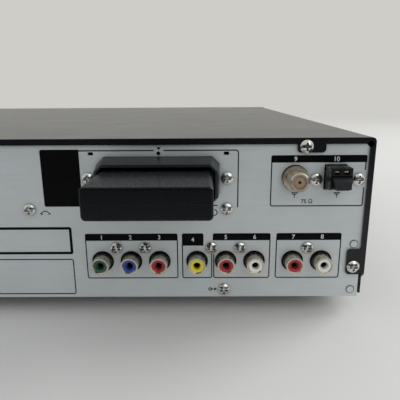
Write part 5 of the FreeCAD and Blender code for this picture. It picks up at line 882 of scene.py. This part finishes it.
class RECEIVER_OT_finish_front(bpy.types.Operator):
    """Finishes the fascia, window, knob and buttons, and prints their marks"""

    bl_idname = "receiver.finish_front"
    bl_label = "Finish the front"

    def execute(self, context):
        looks = wanted("front")
        # ABS fascia from a polished mould: glossy black, with faint flow lines.
        dress(grained("polished_abs", looks.fascia, 0.2, 1.2, 0.006, sheen_mm=40, IOR=1.53),
              "front_fascia", "tray_front")
        dress(smoked("smoked_acrylic", linear("#4a4d52")), "display_window")
        # Soda glass of the display tube, coated grey inside.
        dress(grained("coated_tube_glass", linear("#20282a"), 0.12, 2.0, 0.004, IOR=1.52), "display_tube")
        # Knob and buttons in satin painted ABS: paler than the fascia, with a soft shine.
        dress(grained("satin_painted_abs", looks.knob, 0.34, 0.4, 0.01, IOR=1.53),
              "volume_knob", "power_button", "open_button", "play_button", "stop_button")
        # Pressed steel housing of the knob's encoder, zinc plated: bright and a little cloudy.
        dress(plated("encoder_zinc_plate", linear("#b9bbba"), 0.32), "volume_encoder")
        # Nylon of the headphone jack, moulded: black with a low shine.
        dress(grained("black_socket_nylon", linear("#17181a"), 0.45, 0.6, 0.02, IOR=1.53), "headphone_jack")
        self.print_marks(looks)
        return {"FINISHED"}

    def print_marks(self, looks):
        """Prints the usual signs on the buttons, a pointer on the knob and unlit digits in the tube."""
        pale = ink("pale_screen_ink", looks.legend)
        size = looks.legend_height / MM
        half = size / 2

        def facing(node, sunk=0.0):
            low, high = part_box(node)
            middle = (low + high) / 2
            return lambda x, z: Vector((middle.x + x * MM, low.y + sunk * MM - PRINT_LIFT, middle.z + z * MM))

        signs = {
            "power": [line(arc((0, 0), half * 1.3, 125, 415, 20), SIGN_LINE),
                      line(((0, SIGN_LINE), (0, half * 1.6)), SIGN_LINE)],
            "open": [solid_shape(((-half, -0.1), (half, -0.1), (0, half * 1.1))),
                     solid_shape(plaque(-half, half, -half, -half * 0.55, SHARP))],
            "play": [solid_shape(((-half * 0.8, -half), (half, 0), (-half * 0.8, half)))],
            "stop": [solid_shape(plaque(-half * 0.8, half * 0.8, -half * 0.8, half * 0.8, SHARP))],
        }
        for sign, shapes in signs.items():
            button = sign + "_button"
            printed(sign + "_sign", shapes, facing(button), pale, button)
        pointer = [solid_shape(plaque(*KNOB_POINTER, SHARP))]
        printed("knob_pointer", pointer, facing("volume_knob", KNOB_RECESS), pale, "knob")
        # Phosphor of the display tube, unlit: a pale grey green powder.
        dim = grained("unlit_phosphor", linear("#7d8a88"), 0.6, 0.5, 0.004, IOR=1.6)
        digits = []
        for k in range(6):
            digits += self.digit(DIGITS_LEFT + k * DIGIT_STEP + k // 2 * DIGIT_GAP)
        printed("tube_digits", digits, facing("display_tube"), dim, "case")

    def digit(self, left):
        """The seven bars of one unlit digit, with a small gap at each end of the upright bars."""
        wide, tall, bar, gap = 7.0, 11.0, 1.1, 0.9
        bars = [((left, z), (left + wide, z)) for z in (-tall / 2, 0, tall / 2)]
        for x in (left, left + wide):
            bars += [((x, -tall / 2 + gap), (x, -gap)), ((x, gap), (x, tall / 2 - gap))]
        return [line(ends, bar) for ends in bars]


class RECEIVER_OT_finish_drive(bpy.types.Operator):
    """Finishes the tray, loader, gears, motors and pickup"""

    bl_idname = "receiver.finish_drive"
    bl_label = "Finish the disc drive"

    def execute(self, context):
        # Glass filled ABS of the tray and loader: matt, dark grey.
        dress(grained("glass_filled_abs", linear("#2c2d30"), 0.52, 0.7, 0.02, IOR=1.53),
              "disc_tray", "loader_frame", "base_unit")
        # Acetal gears and pulleys: milky, slightly waxy.
        dress(grained("natural_acetal", linear("#d8d5c8"), 0.38, 0.8, 0.01, IOR=1.48),
              "tray_gear", "belt_pulley", "sled_gear", "disc_clamper", "motor_pulley")
        # Cold rolled steel bridge, bare: grey, with long marks of the rolls.
        dress(rolled("cold_rolled_steel", linear("#b3b5b6"), 0.4, 16, 0.4, ALONG_X), "clamp_bridge")
        # Ground steel rods: bright, with fine rings from grinding.
        dress(rolled("ground_steel", linear("#c4c6c7"), 0.2, 0.3, 4, ALONG_Y), "guide_rods")
        # Drawn steel cans of the three motors: plated, and duller than the screws.
        dress(plated("drawn_motor_can", linear("#a9abac"), 0.36, mottle_mm=2.5),
              "loading_motor", "spindle_motor", "sled_motor")
        # ABS of the turntable and pickup, moulded: black and half matt.
        dress(grained("black_turntable_abs", linear("#1c1d1f"), 0.5, 0.6, 0.02, IOR=1.53),
              "turntable", "pickup_sled")
        # Rubber of the loading belt, moulded and ground: dull black.
        dress(grained("belt_rubber", linear("#1a1a1a"), 0.7, 0.5, 0.02, IOR=1.52), "drive_belt")
        return {"FINISHED"}


class RECEIVER_OT_set_stage(bpy.types.Operator):
    """Lays the floor, and sets the lamps, the room's light and the camera behind the receiver"""

    bl_idname = "receiver.set_stage"
    bl_label = "Set the stage"

    def execute(self, context):
        looks = wanted("stage")
        scene = context.scene
        scene.view_settings.view_transform = "Standard"
        self.lay_floor(looks)
        self.light_room(scene, looks)
        self.hang_flag()
        for name, share, place, size in LAMPS:
            self.place_lamp(name, looks.lamp * share, place, size)
        self.place_camera(scene, looks)
        return {"FINISHED"}

    def lay_floor(self, looks):
        """A round board that runs into the backdrop far from the receiver."""
        # Emulsion painted board: matt and even.
        paint = grained("matt_emulsion", looks.floor, 0.7, 3.0, 0.01, spread=0.01, sheen_mm=300, IOR=1.5)
        self.fade(paint.node_tree, looks)
        rim = arc((0.0, 0.0), looks.floor_radius, 0, 360, FLOOR_SIDES)[:-1]
        floor = self.set_down("floor", [(x, y, 0.0) for x, y in rim], paint)

    def set_down(self, name, corners, material):
        """A flat sheet of the stage, as one face."""
        mesh = bpy.data.meshes.new(name)
        mesh.from_pydata(corners, [], [tuple(range(len(corners)))])
        mesh.materials.append(material)
        sheet = bpy.data.objects.new(name, mesh)
        bpy.context.scene.collection.objects.link(sheet)
        return sheet

    def fade(self, tree, looks):
        """Turns the far floor into plain backdrop for the camera and for reflections."""
        output = next(n for n in tree.nodes if n.bl_idname == "ShaderNodeOutputMaterial")
        lit = output.inputs[0].links[0].from_socket
        place = add_node(tree, "ShaderNodeTexCoord").outputs["Object"]
        way = add_node(tree, "ShaderNodeVectorMath", {"operation": "LENGTH"}, {0: place}).outputs["Value"]
        start, stop = FADE_SPAN
        far = add_node(tree, "ShaderNodeMapRange", inputs={"Value": way, "From Min": start, "From Max": stop})
        plain = add_node(tree, "ShaderNodeEmission", inputs={"Color": looks.backdrop, "Strength": 1.0})
        share = add_node(tree, "ShaderNodeMath", {"operation": "MULTIPLY"}, {0: far, 1: self.looked_at(tree)})
        mix = add_node(tree, "ShaderNodeMixShader", inputs={0: share, 1: lit, 2: plain})
        tree.links.new(result(mix), output.inputs["Surface"])

    def looked_at(self, tree):
        """1 for what the camera sees, also in a mirror or through glass, and 0 for light that spreads."""
        path = add_node(tree, "ShaderNodeLightPath")
        mirror = add_node(tree, "ShaderNodeMath", {"operation": "MAXIMUM"},
                          {0: path.outputs["Is Glossy Ray"], 1: path.outputs["Is Transmission Ray"]})
        return add_node(tree, "ShaderNodeMath", {"operation": "MAXIMUM"},
                        {0: path.outputs["Is Camera Ray"], 1: mirror})

    def light_room(self, scene, looks):
        """A pale backdrop for the camera and for reflections, and the room's even light for the rest."""
        world = bpy.data.worlds.new("room")
        scene.world = world
        world.use_nodes = True
        tree = world.node_tree
        tree.nodes.clear()
        light = add_node(tree, "ShaderNodeBackground", inputs={
            "Color": linear("#f4f8ff"), "Strength": looks.fill})
        wall = add_node(tree, "ShaderNodeBackground", inputs={"Color": looks.backdrop, "Strength": 1.0})
        mix = add_node(tree, "ShaderNodeMixShader", inputs={0: self.looked_at(tree), 1: light, 2: wall})
        add_node(tree, "ShaderNodeOutputWorld", inputs={"Surface": mix})

    def hang_flag(self):
        """A dark cloth behind the receiver that only gloss sees, so that metal has a dark thing to mirror."""
        # Dyed cotton, woven: dull, nearly black.
        cloth = grained("black_cotton", linear("#2a2c30"), 0.9, 1.5, 0.05, Specular_IOR_Level=0.1)
        left, right, behind, top = FLAG
        corners = [(left, behind, 0.0), (right, behind, 0.0), (right, behind, top), (left, behind, top)]
        flag = self.set_down("flag", corners, cloth)
        for sight in ("camera", "diffuse", "shadow", "transmission"):
            setattr(flag, "visible_" + sight, False)

    def place_lamp(self, name, power, place, size):
        """A square soft lamp that faces the receiver."""
        data = bpy.data.lights.new(name, "AREA")
        data.energy = power
        data.size = size
        lamp = bpy.data.objects.new(name, data)
        lamp.location = place
        lamp.rotation_euler = (LAMPS_FACE - Vector(place)).to_track_quat("-Z", "Y").to_euler()
        bpy.context.scene.collection.objects.link(lamp)

    def place_camera(self, scene, looks):
        """The camera stands close behind the receiver, to its aerial side, and looks a little down."""
        data = bpy.data.cameras.new("camera")
        data.sensor_width = 36.0
        data.lens = looks.focal_length
        data.clip_start, data.clip_end = 0.01, 50.0
        camera = bpy.data.objects.new("camera", data)
        pitch, yaw, roll = (math.radians(angle) for angle in CAMERA_TURNS)
        ahead = Vector((-math.sin(yaw) * math.cos(pitch), -math.cos(yaw) * math.cos(pitch), -math.sin(pitch)))
        level = Vector((-math.cos(yaw), math.sin(yaw), 0.0))
        above = level.cross(ahead)
        right = math.cos(roll) * level + math.sin(roll) * above
        up = -math.sin(roll) * level + math.cos(roll) * above
        turn = Matrix((right, up, -ahead)).transposed().to_4x4()
        camera.matrix_world = Matrix.Translation(CAMERA_PLACE) @ turn
        scene.collection.objects.link(camera)
        scene.camera = camera


STEPS = (
    RECEIVER_OT_finish_case,
    RECEIVER_OT_print_panel,
    RECEIVER_OT_fit_jacks,
    RECEIVER_OT_finish_slot,
    RECEIVER_OT_finish_sockets,
    RECEIVER_OT_finish_boards,
    RECEIVER_OT_finish_front,
    RECEIVER_OT_finish_drive,
    RECEIVER_OT_set_stage,
)


class RECEIVER_PT_looks(bpy.types.Panel):
    """Lists the steps and their settings in the sidebar"""

    bl_label = "Receiver"
    bl_space_type = "VIEW_3D"
    bl_region_type = "UI"
    bl_category = "Receiver"

    def draw(self, context):
        for step in STEPS:
            self.layout.operator(step.bl_idname)
        for group in SETTINGS:
            box = self.layout.box()
            box.label(text=group.capitalize())
            looks = wanted(group)
            for name in SETTINGS[group].__annotations__:
                box.prop(looks, name)


def register():
    """Makes the settings, steps and panel known to Blender."""
    for group, kind in SETTINGS.items():
        bpy.utils.register_class(kind)
        setattr(bpy.types.Scene, "receiver_" + group, PointerProperty(type=kind))
    for kind in (*STEPS, RECEIVER_PT_looks):
        bpy.utils.register_class(kind)


def unregister():
    """Takes them away again."""
    for kind in (RECEIVER_PT_looks, *reversed(STEPS)):
        bpy.utils.unregister_class(kind)
    for group, kind in SETTINGS.items():
        delattr(bpy.types.Scene, "receiver_" + group)
        bpy.utils.unregister_class(kind)


def main():
    """Runs every step in order."""
    register()
    for step in STEPS:
        group, name = step.bl_idname.split(".")
        if getattr(getattr(bpy.ops, group), name)() != {"FINISHED"}:
            raise RuntimeError(f"{step.bl_label} didn't finish")


if __name__ == "__main__":
    main()
